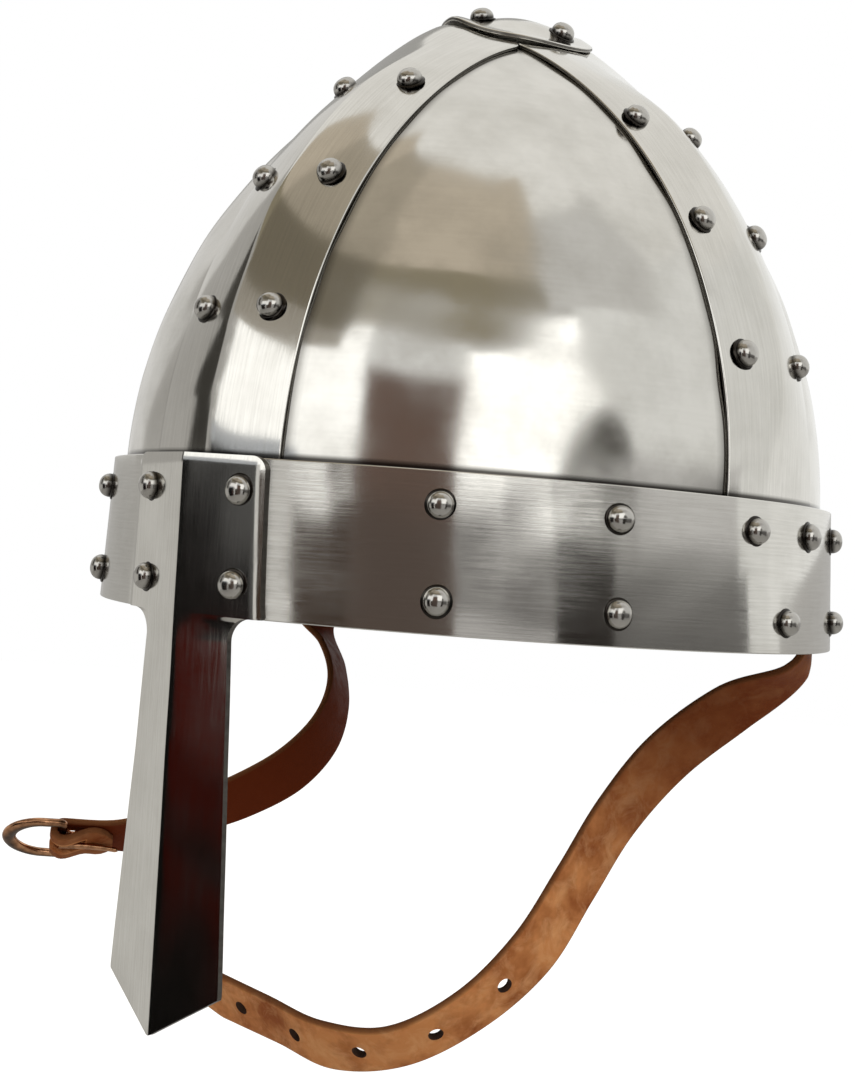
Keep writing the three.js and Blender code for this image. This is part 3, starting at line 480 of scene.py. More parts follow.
def lathe(profile, sides):
    """A profile of (radius, height) rows turned about Z: x = r cos a, y = r sin a, z = h. Its ends lie on the axis.
    Returns the points and the polygons."""
    inner = profile[1:-1]
    angle = np.linspace(0, FULL_TURN, sides, endpoint=False)
    ring = np.stack((inner[:, :1] * np.cos(angle), inner[:, :1] * np.sin(angle), np.repeat(inner[:, 1:], sides, 1)), -1)
    points = np.concatenate((ring.reshape(-1, 3), ((0, 0, profile[0, 1]), (0, 0, profile[-1, 1]))))
    quads = grid_faces(len(inner) - 1, sides, 0, ring=True)
    around = np.arange(sides)
    after = (around + 1) % sides
    low, high = len(points) - 2, len(points) - 1
    last = (len(inner) - 1) * sides
    caps = np.concatenate((np.stack((after, around, np.full(sides, low)), -1),
                           np.stack((last + around, last + after, np.full(sides, high)), -1)))
    return points, quads.tolist() + caps.tolist()


def make_mesh(name, points, polygons):
    """A mesh object at the origin from points and polygons."""
    mesh = bpy.data.meshes.new(name)
    corners = polygons.tolist() if isinstance(polygons, np.ndarray) else polygons
    mesh.from_pydata(np.asarray(points).tolist(), [], corners)
    piece = bpy.data.objects.new(name, mesh)
    bpy.context.scene.collection.objects.link(piece)
    return piece


def set_sheet_map(piece, sheet):
    """Gives each corner its point's place on the flat sheet, in metres across and along, as a UV map."""
    mesh = piece.data
    corners = np.zeros(len(mesh.loops), np.int32)
    mesh.loops.foreach_get("vertex_index", corners)
    layer = mesh.uv_layers.new(name="sheet")
    layer.data.foreach_set("uv", np.asarray(sheet, np.float32)[corners].ravel())


def set_value(piece, name, values):
    """Stores one number for each point of a piece."""
    attribute = piece.data.attributes.new(name, "FLOAT", "POINT")
    attribute.data.foreach_set("value", np.asarray(values, np.float32).ravel())


def smooth(piece, sharp_degrees=38):
    """Smooth shading with sharp edges above an angle."""
    piece.data.shade_smooth()
    piece.data.set_sharp_from_angle(angle=math.radians(sharp_degrees))


def round_edges(piece, width, segments=2, above_degrees=50):
    """Rounds a piece's sharp edges."""
    bevel = piece.modifiers.new("edge_round", "BEVEL")
    bevel.width = width
    bevel.segments = segments
    bevel.limit_method = "ANGLE"
    bevel.angle_limit = math.radians(above_degrees)
    bevel.material = 0


def join_or_cut(piece, tool, operation):
    """Joins a closed mesh to a piece or cuts it away, and removes the tool."""
    step = piece.modifiers.new("solid", "BOOLEAN")
    step.operation = operation
    step.solver = "EXACT"
    step.object = tool
    bpy.context.view_layer.update()
    made = bpy.data.meshes.new_from_object(piece.evaluated_get(bpy.context.evaluated_depsgraph_get()))
    piece.modifiers.clear()
    old = piece.data
    made.name = old.name
    piece.data = made
    bpy.data.meshes.remove(old)
    bpy.data.objects.remove(tool)
    if len(made.polygons) == 0:
        raise RuntimeError(f"{piece.name} came out empty")


def settle(piece, nodes, materials, body=BODY):
    """Gives a piece its materials and body, and hides the solids that it stands for."""
    for material in materials:
        piece.data.materials.append(material)
    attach(piece, body)
    if nodes:
        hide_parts(*nodes)
    return piece


# Skull surface

def wall_sections(skull, heights):
    """Level lines of the upright wall: half width grows in proportion toward the rim, half length stays."""
    z = np.asarray(heights, float)[:, None]
    share = (skull.brow_height - z) / skull.brow_height
    flat = np.zeros_like(z)
    return {"width": skull.half_width + skull.rim_flare * share, "length": flat + skull.half_length, "height": z,
            "width_slope": flat - skull.rim_flare / skull.brow_height, "length_slope": flat, "lean": flat}


def dome_radius(skull):
    """Radius of the arc that rises from the dome's foot to the skull's point."""
    crown = 2 * math.atan2(skull.half_width, skull.crown_rise) - skull.brow_lean
    return skull.crown_rise / (math.sin(crown) - math.sin(skull.brow_lean))


def dome_sections(skull, leans):
    """Level lines of the dome, whose side profile is a circle's arc: height = R (sin lean - sin foot)
    and both halves shrink by R (cos foot - cos lean)."""
    lean = np.asarray(leans, float)[:, None]
    radius = dome_radius(skull)
    share = 1 - radius * (math.cos(skull.brow_lean) - np.cos(lean)) / skull.half_width
    slope = -np.tan(lean) / skull.half_width
    return {"width": skull.half_width * share, "length": skull.half_length * share,
            "height": skull.brow_height + radius * (np.sin(lean) - math.sin(skull.brow_lean)),
            "width_slope": skull.half_width * slope, "length_slope": skull.half_length * slope, "lean": lean}


def stack(*sections):
    """Level lines one above another."""
    return {key: np.concatenate([section[key] for section in sections]) for key in sections[0]}


def skull_places(skull, section, turn, ease=None):
    """Points and outward normals at angles from the front toward the wearer's left. The plan is the superellipse
    |x/w|^p + |y/l|^p = 1, with the two absolute values eased to sqrt(a^2 + e^2) near zero."""
    power = skull.plan_power
    ease = skull.plan_ease if ease is None else ease
    across, ahead = np.sin(turn), np.cos(turn)
    reach = (np.hypot(across, ease) ** power + np.hypot(ahead, ease) ** power) ** (-1 / power)
    x, y = section["width"] * across * reach, -section["length"] * ahead * reach
    x_share, y_share = np.abs(x / section["width"]) ** power, np.abs(y / section["length"]) ** power
    normal = np.stack((
        np.sign(x) * np.abs(x / section["width"]) ** (power - 1) / section["width"],
        np.sign(y) * np.abs(y / section["length"]) ** (power - 1) / section["length"],
        -(x_share * section["width_slope"] / section["width"] + y_share * section["length_slope"] / section["length"]),
    ), -1)
    return np.stack((x, y, section["height"] + 0 * x), -1), unit(normal)


def turn_across(skull, section, facing, across):
    """Angle from a band's middle to the point at a distance across: on the superellipse, the share s across goes
    with (1 - s^p)^(1/p) ahead."""
    half = section["length"] if abs(math.sin(math.radians(facing))) > 0.5 else section["width"]
    share = np.minimum(across / half, 1)
    return np.arctan2(share, (1 - share ** skull.plan_power) ** (1 / skull.plan_power))


def soft_dents(u, v, size, seed):
    """Low hammered waves: a sum of sines over the sheet with seeded directions and phases, the longer the higher."""
    draw = np.random.default_rng(seed)
    waves = np.zeros_like(u)
    for length in DENT_LENGTHS:
        angle, phase = draw.uniform(0, math.pi), draw.uniform(0, FULL_TURN)
        waves += length * np.sin(FULL_TURN / length * (u * math.cos(angle) + v * math.sin(angle)) + phase)
    return size * waves / DENT_FULL


def lean_step(lean, degrees):
    """Cubic step over a range of leans given in degrees."""
    return smoothstep(lean, math.radians(degrees[0]), math.radians(degrees[1]))


def ridge_rise(skull, section, band):
    """Rise of a band's ridge: it grows above the brow band, slowly from a low rise behind the nasal, and flattens
    toward the crown."""
    grown = smoothstep(section["height"] - skull.brow_height, 0, skull.ridge_fade)
    if band["name"] == NASAL_BAND:
        grown = NASAL_RIDGE + (1 - NASAL_RIDGE) * lean_step(section["lean"], RIDGE_GROWS)
    return skull.ridge * grown * (1 - RIDGE_LOSS * lean_step(section["lean"], RIDGE_FLATTENS))


def band_edge_turn(skull, section, facing):
    """Angle from a band's middle to its edge: its half width, or near the crown the mitre line."""
    share = np.clip((section["height"] - skull.brow_height) / skull.crown_rise, 0, 1)
    half = skull.band_half_brow + (skull.band_half_crown - skull.band_half_brow) * share
    mitre = math.radians(BANDS[1]["facing"] - BANDS[0]["facing"]) / 2
    return np.minimum(turn_across(skull, section, facing, half), mitre - skull.mitre_gap / section["width"])


def crown_lift(settings, lean, turn):
    """How far the sheets' upper ends stand off the dome under the tilted cap: a rise toward the crown that eases off
    beyond it, growing from the cap's low side round to its high side."""
    grown = lean_step(lean, LIFT_GROWS) * (1 - LIFT_EASED * lean_step(lean, LIFT_EASES))
    from_low = (1 - np.cos(turn - settings.cap.tilt_toward)) / 2
    return settings.skull.crown_lift * grown * smoothstep(from_low, 0, LIFT_FULL)


def tent(share, ease):
    """1 at the middle and 0 at the edges, straight, with the peak rounded over the ease."""
    return 1 - (np.hypot(share, ease) - ease) / (math.hypot(1, ease) - ease)


def offsets(skull):
    """Outward distances of the bands' and brow band's faces from the plates' outer face."""
    brow_inner = skull.sheet + 2 * skull.seat
    return {"band_inner": skull.seat / 4, "band_outer": skull.band_stands, "brow_inner": brow_inner,
            "brow_outer": brow_inner + skull.sheet}


def place_one(skull, turn_degrees, height, offset=0.0):
    """A point of the wall at an angle and a height, moved out by an offset, and the outward normal."""
    point, normal = skull_places(skull, wall_sections(skull, [height]), np.array([[math.radians(turn_degrees)]]))
    return point[0, 0] + normal[0, 0] * offset, normal[0, 0]


def seam_shade_and_grime(distance, reach, depth):
    """Painted shade, with some dirt, beside a seam, standing in for the shade where two sheets meet: deepest at the
    seam and gone at the reach.
    """
    return depth * (1 - smoothstep(distance, 0, reach))


def sheet_sections(skull, top_lean, rows):
    """Level lines from inside the brow band up to a lean of the dome, closest above the brow band."""
    heights = np.linspace(skull.lower_edge, skull.brow_height - 2 * MM, WALL_ROWS)
    leans = skull.brow_lean + (top_lean - skull.brow_lean) * np.linspace(0, 1, rows) ** FOOT_CROWDING
    return stack(wall_sections(skull, heights), dome_sections(skull, leans))


def toward_middle(columns, power):
    """Shares from -1 to 1 across a sheet, crowded toward its middle: the sign times the size to a power."""
    even = np.linspace(-1, 1, columns)
    return (np.sign(even) * np.abs(even) ** power)[None, :]


def sheet_piece(settings, solid, polish, faces, flat, ring=False, grime=None, rounding=0.0, segments=2):
    """A piece of sheet steel between its outer and inner grids, mapped by its places on the flat sheet, with a polished
    face that may carry painted shade and dirt, sheared edges that are dark partly as painted shade, and a dull inside."""
    points, quads, kinds = wall(*faces, ring)
    piece = make_mesh(f"polished_{solid}", points, quads)
    piece.data.polygons.foreach_set("material_index", kinds)
    places = np.stack(flat, -1).reshape(-1, 2)
    set_sheet_map(piece, np.concatenate((places, places)))
    if grime is not None:
        set_value(piece, "grime", np.concatenate((grime.ravel(), 0 * grime.ravel())))
    smooth(piece)
    if rounding:
        round_edges(piece, rounding, segments)
    settle(piece, [solid], sheet_finishes(settings, polish))


def make_plates(settings):
    """Four infill plates: the skull's surface between two bands, as a sheet with soft dents, and with painted shade and
    some dirt along seams.
    """
    skull = settings.skull
    rows, columns = PLATE_GRID
    section = sheet_sections(skull, skull.plate_top_lean, rows)
    for index, band in enumerate(BANDS):
        after = BANDS[(index + 1) % len(BANDS)]
        last_facing = after["facing"] if after["facing"] > band["facing"] else after["facing"] + 360
        first_middle, last_middle = math.radians(band["facing"]), math.radians(last_facing)
        first = first_middle + turn_across(skull, section, band["facing"], skull.plate_tuck)
        last = last_middle - turn_across(skull, section, after["facing"], skull.plate_tuck)
        turn = first + (last - first) * np.linspace(0, 1, columns)[None, :]
        point, normal = skull_places(skull, section, turn)
        across = (turn - first_middle) * section["width"]
        along = section["height"] + 0 * turn
        lift = soft_dents(across, along, skull.dents, SEED + index) + crown_lift(settings, section["lean"], turn)
        outer = point + normal * lift[..., None]
        radius = np.hypot(point[..., 0], point[..., 1])
        past_first = (turn - first_middle - band_edge_turn(skull, section, band["facing"])) * radius
        past_last = (last_middle - turn - band_edge_turn(skull, section, after["facing"])) * radius
        # Painted shade, with some dirt, beside the bands and just above the brow band
        grime = np.maximum(seam_shade_and_grime(np.minimum(past_first, past_last), *SIDE_SHADE),
                           seam_shade_and_grime(along - skull.brow_height - SEAM_SHADE_START, *PLATE_SHADE))
        sheet_piece(settings, f"plate_{band['name']}_to_{after['name']}", "worn_steel_plate",
                    (outer, outer - normal * skull.sheet), (across, along), grime=grime)


def make_bands(settings):
    """Four bands: the skull's surface raised to a straight-sided ridge, as a sheet with sheared edges that are dark
    partly as painted shade of the gap beneath them.
    """
    skull = settings.skull
    far = offsets(skull)
    rows, columns = BAND_GRID
    section = sheet_sections(skull, skull.band_top_lean, rows)
    share = toward_middle(columns, BAND_CROWDING)
    for index, band in enumerate(BANDS):
        turn = math.radians(band["facing"]) + share * band_edge_turn(skull, section, band["facing"])
        point, normal = skull_places(skull, section, turn)
        across = share * skull.band_half_brow + 0 * turn
        along = section["height"] + 0 * turn
        ridge = ridge_rise(skull, section, band) * tent(share, skull.ridge_round)
        dents = soft_dents(across, along, BAND_DENTS * skull.dents, SEED + 10 + index)
        rise = (ridge + crown_lift(settings, section["lean"], turn) + dents)[..., None]
        faces = [point + normal * (far[face] + rise) for face in ("band_outer", "band_inner")]
        # Painted shade, with some dirt, on the bands just above the brow band
        grime = seam_shade_and_grime(along - skull.brow_height - SEAM_SHADE_START, *BAND_SHADE)
        sheet_piece(settings, f"band_{band['name']}", "worn_steel_band", faces, (along, across), grime=grime,
                    rounding=skull.edge_round)


def make_brow_band(settings):
    """Brow band: the upright wall's plan carried round as a closed ring, with soft dents that fade out where the ring
    meets, rounded edges, and a bulge over the front band's ridge, behind the nasal."""
    skull = settings.skull
    rows, columns = BROW_GRID
    fade = 0.2
    section = wall_sections(skull, np.linspace(0, skull.brow_height, rows))
    turn = np.linspace(0, FULL_TURN, columns, endpoint=False)[None, :] + 0 * section["height"]
    point, normal = skull_places(skull, section, turn)
    across = turn * skull.half_length
    along = section["height"] + 0 * turn
    faded = smoothstep(turn, 0, fade) * smoothstep(FULL_TURN - turn, 0, fade)
    wave = soft_dents(across, along, BROW_DENTS * skull.dents, SEED + 20) * faded
    from_front = np.abs((turn + math.pi) % FULL_TURN - math.pi)
    peak = tent(from_front / (BULGE_REACH * band_edge_turn(skull, section, 0.0)), skull.ridge_round)
    bulge = BULGE_RISE * NASAL_RIDGE * skull.ridge * (peak + np.hypot(peak, BULGE_EASE)) / 2
    outer = point + normal * (offsets(skull)["brow_outer"] + wave + bulge)[..., None]
    sheet_piece(settings, "brow_band", "worn_steel_band", (outer, outer - normal * skull.sheet), (across, along),
                ring=True, rounding=skull.edge_round)


# Nasal

def nasal_lines():
    """Lines across the nasal from top to tip: half width, edge height, ridge height and fall. The plate's corners and
    the fillets to the bar are quarter circles, the rest is straight or follows short tables, and the ridge's heights
    fall by a least step and are then stretched to end at the tip."""
    corner, foot, fillet = (np.radians(np.linspace(*span)) for span in ((4, 90, 10), (15, 90, 5), (0, 90, 12)))
    side, bar, tip = np.linspace(34, 0.9, 12), np.linspace(-8, -91.6, 34), np.linspace(19.35, 0.6, 18)
    half = np.concatenate((
        PLATE_CORNER[0] + PLATE_CORNER[2] * np.sin(corner), 0 * side + PLATE_HALF,
        PLATE_FOOT[0] + PLATE_FOOT[2] * np.cos(foot), (FOOT_HALF,),
        BAR_FILLET[0] - BAR_FILLET[2] * np.sin(fillet), np.interp(-bar, BAR_DEPTHS, BAR_HALVES), tip,
    ))
    edge = np.concatenate((
        PLATE_CORNER[1] + PLATE_CORNER[2] * np.cos(corner), side,
        PLATE_FOOT[1] - PLATE_FOOT[2] * np.sin(foot), (0.0,),
        BAR_FILLET[1] + BAR_FILLET[3] * np.cos(fillet), bar, np.interp(tip, TIP_HALVES, TIP_HEIGHTS),
    ))
    ridge = np.interp(edge, EDGE_HEIGHTS, RIDGE_HEIGHTS)
    fallen = np.concatenate(((0,), np.cumsum(np.minimum(np.diff(ridge), -RIDGE_STEP))))
    ridge = ridge[0] + fallen * (RIDGE_HEIGHTS[0] - ridge[0]) / fallen[-1]
    return half * MM, edge * MM, ridge * MM, np.interp(edge, EDGE_HEIGHTS, EDGE_FALLS)


def nasal_ridge_y(nasal, height):
    """Y of the ridge line, straight from top to tip."""
    return np.interp(height, (RIDGE_HEIGHTS[0] * MM, RIDGE_HEIGHTS[-1] * MM), (nasal.ridge_tip, nasal.ridge_top))


def make_nasal(settings):
    """Nasal: a sheet whose lines across fall back in proportion to the distance from the rounded ridge, with its upper
    edge and the plate's side edges bent back as parabolas, and the plate's left half narrower toward its top."""
    nasal = settings.nasal
    half, edge, ridge, fall = (line[::-1, None] for line in nasal_lines())
    share = toward_middle(NASAL_COLUMNS, NASAL_CROWDING)
    height = ridge + (edge - ridge) * np.abs(share)
    short = nasal.plate_short * smoothstep(height, *PLATE_NARROWS) ** 0.5 * smoothstep(height, *PLATE_BEGINS)
    short = short * (share > 0)
    across = (half - short) * share
    back = (np.hypot(across, nasal.ridge_round) - nasal.ridge_round) * fall
    back += np.maximum(height - height.max() + nasal.lip, 0) ** 2 / (2 * nasal.lip_radius)
    past = np.maximum(np.abs(across) - half.max() + short + nasal.side_lip, 0)
    back += past ** 2 / (2 * nasal.side_radius)
    wave = soft_dents(across, height, nasal.dents, SEED + 30)
    front = np.stack((across, nasal_ridge_y(nasal, height) + back - wave, height), -1)
    sheet_piece(settings, "nasal", "worn_steel_nasal", (front, front + (0, nasal.sheet, 0)), (height, across),
                rounding=nasal.edge_round, segments=3)


# Crown cap

def bed_height(settings, x, y):
    """Height of the bands' outer face at places near the crown: the dome's arc at the superellipse's share of the way
    out, raised along the vertical by what lies on it."""
    skull = settings.skull
    across, ahead = x / skull.half_width, -y / skull.half_length
    far = np.hypot(across, ahead) + 1e-9
    power, ease = skull.plan_power, skull.plan_ease
    share = far * (np.hypot(across / far, ease) ** power + np.hypot(ahead / far, ease) ** power) ** (1 / power)
    radius = dome_radius(skull)
    lean = np.arccos(math.cos(skull.brow_lean) - (1 - share) * skull.half_width / radius)
    raised = skull.band_stands + (1 - RIDGE_LOSS) * skull.ridge + skull.seat
    raised = raised + crown_lift(settings, lean, np.arctan2(across, ahead))
    return skull.brow_height + radius * (np.sin(lean) - math.sin(skull.brow_lean)) + raised / np.sin(lean)


def cap_under(settings, x, y):
    """Height of the cap's underside: a tilted dish, a blend of a parabola and a cone with a rounded point, that comes
    down toward its rim to lie on the bands."""
    cap, skull = settings.cap, settings.skull
    dx, dy = x - cap.shift[0], y - cap.shift[1]
    far = np.hypot(dx, dy)
    point = cap.point_round
    cone = (np.hypot(far, point) - point) / (math.hypot(cap.radius, point) - point)
    bowl = (far / cap.radius) ** 2
    toward = dx * math.sin(cap.tilt_toward) - dy * math.cos(cap.tilt_toward)
    top = skull.brow_height + skull.crown_rise + cap.clear
    dish = top - cap.drop * (bowl + (cone - bowl) * cap.cone) - toward * math.tan(cap.tilt)
    draped = smoothstep(far / cap.radius, *CAP_DRAPES)
    return dish + (bed_height(settings, x, y) - dish) * draped


def make_cap(settings):
    """Crown cap: a round sheet, out along the underside and back along the top, at the cap's heights, with soft dents
    that fade out at its point."""
    cap, skull = settings.cap, settings.skull
    circles, sides = CAP_GRID
    radius = np.linspace(0, cap.radius, circles)
    under = np.stack((radius, 0 * radius), -1)
    over = np.stack((radius, 0 * radius + skull.sheet), -1)[::-1]
    points, polygons = lathe(np.concatenate((under, over)), sides)
    rows = (circles - 2) * sides
    kinds = np.repeat((INNER, EDGE, OUTER, INNER, OUTER), (rows, sides, rows, sides, sides)).astype(np.int32)
    angle = np.arctan2(points[:, 1], points[:, 0])
    far = np.hypot(points[:, 0], points[:, 1])
    points[:, :2] += cap.shift
    x, y = points[:, 0], points[:, 1]
    points[:, 2] += cap_under(settings, x, y)
    points[:, 2] += soft_dents(x, y, CAP_DENTS * skull.dents, SEED + 40) * smoothstep(far, *CAP_DENTS_FADE)
    piece = make_mesh("polished_crown_cap", points, polygons)
    piece.data.polygons.foreach_set("material_index", kinds)
    set_sheet_map(piece, np.stack((angle * CAP_MAP_RADIUS, far), -1))
    smooth(piece)
    round_edges(piece, skull.edge_round)
    settle(piece, ["crown_cap"], sheet_finishes(settings, "worn_steel_plate"))


# Rivets

def facing_frames(normals):
    """Turns that carry +Z to each normal."""
    normals = unit(np.asarray(normals, float))
    helper = np.where(np.abs(normals[:, 2:]) < 0.9, (0.0, 0.0, 1.0), (1.0, 0.0, 0.0))
    x = unit(np.cross(helper, normals))
    return np.stack((x, np.cross(normals, x), normals), -1)


def domes(places, normals, radius, height, seed, power, sides):
    """Domed heads: height = H (rim + (1 - rim) (1 - (r/R)^p)^(1/root)) above a short upright rim and a thin seat ring,
    which the painted shade makes a dark contact shadow, turned about each normal, with a small seeded spread of size
    and lean. Returns the points, the polygons and how low each point lies, which sets the painted shade on each head's
    lower part."""
    share = np.sin(np.linspace(0, math.pi / 2, 16))[::-1]
    bow = (1 - share ** power) ** (1 / DOME_ROOT)
    dome = np.stack((DOME_SHARE * radius * share, height * (RIM_SHARE + (1 - RIM_SHARE) * bow)), -1)
    # The seat ring reaches just past the head and lies below the sheet's face, so the painted shade turns it into a
    # dark contact shadow
    wide, rim, sunk = SHADE_RING_SHARE * radius, 0.2 * MM, 0.3 * MM
    seat = ((0, -sunk), (wide, -sunk), (wide, 0.0), (radius, rim), (DOME_SHARE * radius, sunk))
    profile = np.concatenate((seat, dome))
    profile[-1, 0] = 0
    points, polygons = lathe(profile, sides)
    # Painted shade: darkest at the seat ring and the head's foot, fading out up the dome
    low = 1 - smoothstep(points[:, 2] / height, *HEAD_SHADE)
    draw = np.random.default_rng(seed)
    count = len(places)
    size = draw.uniform(*SIZE_SPREAD, (count, 1, 3))
    turned = facing_frames(unit(np.asarray(normals) + draw.normal(0, LEAN_SPREAD, (count, 3))))
    moved = np.einsum("nij,nvj->nvi", turned, points[None] * size) + np.asarray(places)[:, None, :]
    return moved.reshape(-1, 3), copies(polygons, count, len(points)), np.tile(low, count)


def add_rivets(settings, name, heads, tails, solids):
    """One piece of domed heads outside and flat hammered tails inside."""
    rivets = settings.rivets
    points, polygons, low = domes(*zip(*heads), rivets.radius, rivets.height, SEED + len(heads), HEAD_POWER, HEAD_SIDES)
    if tails:
        more, others, more_low = domes(*zip(*tails), rivets.tail_radius, rivets.tail_height, SEED + 7 + len(tails),
                                       TAIL_POWER, TAIL_SIDES)
        polygons = polygons + [[corner + len(points) for corner in polygon] for polygon in others]
        points, low = np.concatenate((points, more)), np.concatenate((low, more_low))
    piece = make_mesh(name, points, polygons)
    # Painted shade on the heads' lower parts and seat rings, from how low each point lies
    set_value(piece, "grime", low)
    smooth(piece, 50)
    settle(piece, solids, (metal_finish(settings, "worn_rivet_steel"),))


def make_brow_rivets(settings):
    """Two rows of pairs round the brow band, and three rivets over the foot of each band but the front one. The straps'
    ends hold the tails of the two that pass through them away from the skull."""
    skull, strap = settings.skull, settings.strap
    far = offsets(skull)
    inside = -skull.sheet
    behind_strap = -(skull.sheet + strap.end_gap + strap.thick)
    spots = []
    for side, sign in SIDES:
        for turn in BROW_PAIRS:
            for row, height in BROW_ROWS.items():
                depth = behind_strap if turn == STRAP_TURN and row == "lower" else inside
                spots.append((f"{side}_{round(turn)}_{row}", sign * turn, height, depth))
    for band in BANDS[1:]:
        for label, shift, row, depth in (("fore", -SIDE_SPREAD, "upper", inside), ("aft", SIDE_SPREAD, "upper", inside),
                                         ("low", 0.0, "lower", far["band_inner"])):
            spots.append((f"{band['name']}_{label}", band["facing"] + shift, BROW_ROWS[row], depth))
    heads, tails = [], []
    for _, turn, height, depth in spots:
        point, normal = place_one(skull, turn, height * MM)
        heads.append((point + normal * far["brow_outer"], normal))
        tails.append((point + normal * depth, -normal))
    add_rivets(settings, "brow_rivets", heads, tails, [f"rivet_brow_{label}" for label, *_ in spots])


def make_band_rivets(settings):
    """Two columns of rivets on each band, on the slopes of its ridge."""
    skull = settings.skull
    heads, tails = [], []
    for band in BANDS:
        for lean in band["leans"]:
            section = dome_sections(skull, [math.radians(lean)])
            edge = band_edge_turn(skull, section, band["facing"])
            shift = turn_across(skull, section, band["facing"], band["rivets"] * MM)
            rise = ridge_rise(skull, section, band) * tent(shift / edge, skull.ridge_round)
            for sign in (-1, 1):
                point, normal = skull_places(skull, section, math.radians(band["facing"]) + sign * shift)
                point, normal = point[0, 0], normal[0, 0]
                heads.append((point + normal * (offsets(skull)["band_outer"] + rise[0, 0]), normal))
                tails.append((point - normal * skull.sheet, -normal))
    add_rivets(settings, "band_rivets", heads, tails, [])


def make_nasal_rivets(settings):
    """Four rivets on the slopes of the nasal's plate, with their tails on the skull's inside behind them."""
    skull, nasal = settings.skull, settings.nasal
    heads, tails, solids = [], [], []
    _, edge, _, fall = nasal_lines()
    for side, sign in SIDES:
        for row, level in BROW_ROWS.items():
            height = level * MM
            slope = float(np.interp(-height, -edge, fall))
            y = nasal_ridge_y(nasal, height) + nasal.rivet_across * slope
            point = np.array((sign * nasal.rivet_across, y, height))
            heads.append((point, unit(np.array((sign * slope, -1.0, 0.0)))))
            behind, out = place_one(skull, math.degrees(math.atan2(point[0], -point[1])), height, -skull.sheet)
            tails.append((behind, -out))
            solids.append(f"rivet_nasal_{side}_{row}")
    add_rivets(settings, "nasal_rivets", heads, tails, solids)


def make_crown_rivets(settings):
    """Four rivets on the cap, square to its slope, which is taken between points a short step apart."""
    skull, cap = settings.skull, settings.cap
    step = 0.5 * MM
    facing = np.radians([turn for turn, _ in CROWN_RIVETS])
    away = cap.rivet_radius * np.array([share for _, share in CROWN_RIVETS])
    x, y = cap.shift[0] + away * np.sin(facing), cap.shift[1] - away * np.cos(facing)
    slope_x = (cap_under(settings, x + step, y) - cap_under(settings, x - step, y)) / (2 * step)
    slope_y = (cap_under(settings, x, y + step) - cap_under(settings, x, y - step)) / (2 * step)
    places = np.stack((x, y, cap_under(settings, x, y) + skull.sheet), -1)
    normals = unit(np.stack((-slope_x, -slope_y, 0 * x + 1), -1))
    solids = [f"rivet_crown_{band['name']}" for band in BANDS]
    add_rivets(settings, "crown_rivets", list(zip(places, normals)), [], solids)


# Chin strap

def through(points, at, centripetal):
    """Catmull-Rom curve through points, at shares of its length in points: cubic pieces whose end slopes come from the
    neighbours, spaced by the root of the chords if centripetal."""
    padded = np.vstack((2 * points[0] - points[1], points, 2 * points[-1] - points[-2]))
    where = np.asarray(at) * (len(points) - 1)
    index = np.minimum(where.astype(int), len(points) - 2)
    w = (where - index)[:, None]
    p0, p1, p2, p3 = (padded[index + k] for k in range(4))
    if centripetal:
        chords = (p1 - p0, p2 - p1, p3 - p2)
        d0, d1, d2 = (np.sqrt(np.linalg.norm(chord, axis=1, keepdims=True)) for chord in chords)
        t1 = ((p1 - p0) / d0 - (p2 - p0) / (d0 + d1) + (p2 - p1) / d1) * d1
        t2 = ((p2 - p1) / d1 - (p3 - p1) / (d1 + d2) + (p3 - p2) / d2) * d1
    else:
        t1, t2 = 0.5 * (p2 - p0), 0.5 * (p3 - p1)
    return p1 + t1 * w + (3 * (p2 - p1) - 2 * t1 - t2) * w ** 2 + (2 * (p1 - p2) + t1 + t2) * w ** 3


def strap_line(settings, side, bends, pointed=False):
    """Stations of a strap, from its riveted end inside the skull through its bends: centre, along, edge and face
    directions, and distance from the first bend. A pointed strap has more stations toward its free end."""
    skull, strap = settings.skull, settings.strap
    section = wall_sections(skull, np.array(STRAP_END_HEIGHTS) * MM)
    turn = np.full((len(STRAP_END_HEIGHTS), 1), side * math.radians(STRAP_TURN))
    point, normal = (value[:, 0] for value in skull_places(skull, section, turn, ease=0.0))
    start = point - normal * (skull.sheet + strap.end_gap + strap.thick / 2)
    start_edge = unit(np.stack((side * normal[:, 1], -side * normal[:, 0], 0 * normal[:, 0]), -1))
    rise, swing = np.radians(bends[:, 3]), np.radians(bends[:, 4])
    bend_edge = np.stack((np.sin(swing) * np.cos(rise), -np.cos(swing) * np.cos(rise), np.sin(rise)), -1)
    rows = np.vstack((start, bends[:, :3] * MM))
    edges = np.vstack((start_edge, bend_edge))
    at = np.linspace(0, 1, (len(rows) - 1) * PER_BEND + 1)
    if pointed:
        at = np.unique(np.concatenate((at, 1 - TAIL_SHARE * np.linspace(0, 1, TAIL_STEPS) ** 2)))
    centre = through(rows, at, True)
    nudge = 1e-4
    along = unit(through(rows, np.minimum(at + nudge, 1), True) - through(rows, np.maximum(at - nudge, 0), True))
    edge = through(edges, at, False)
    edge = unit(edge - along * (edge * along).sum(1, keepdims=True))
    travelled = np.concatenate(((0,), np.cumsum(np.linalg.norm(np.diff(centre, axis=0), axis=1))))
    travelled -= travelled[len(STRAP_END_HEIGHTS) * PER_BEND]
    return {"centre": centre, "along": along, "edge": edge, "face": np.cross(along, edge), "travelled": travelled}


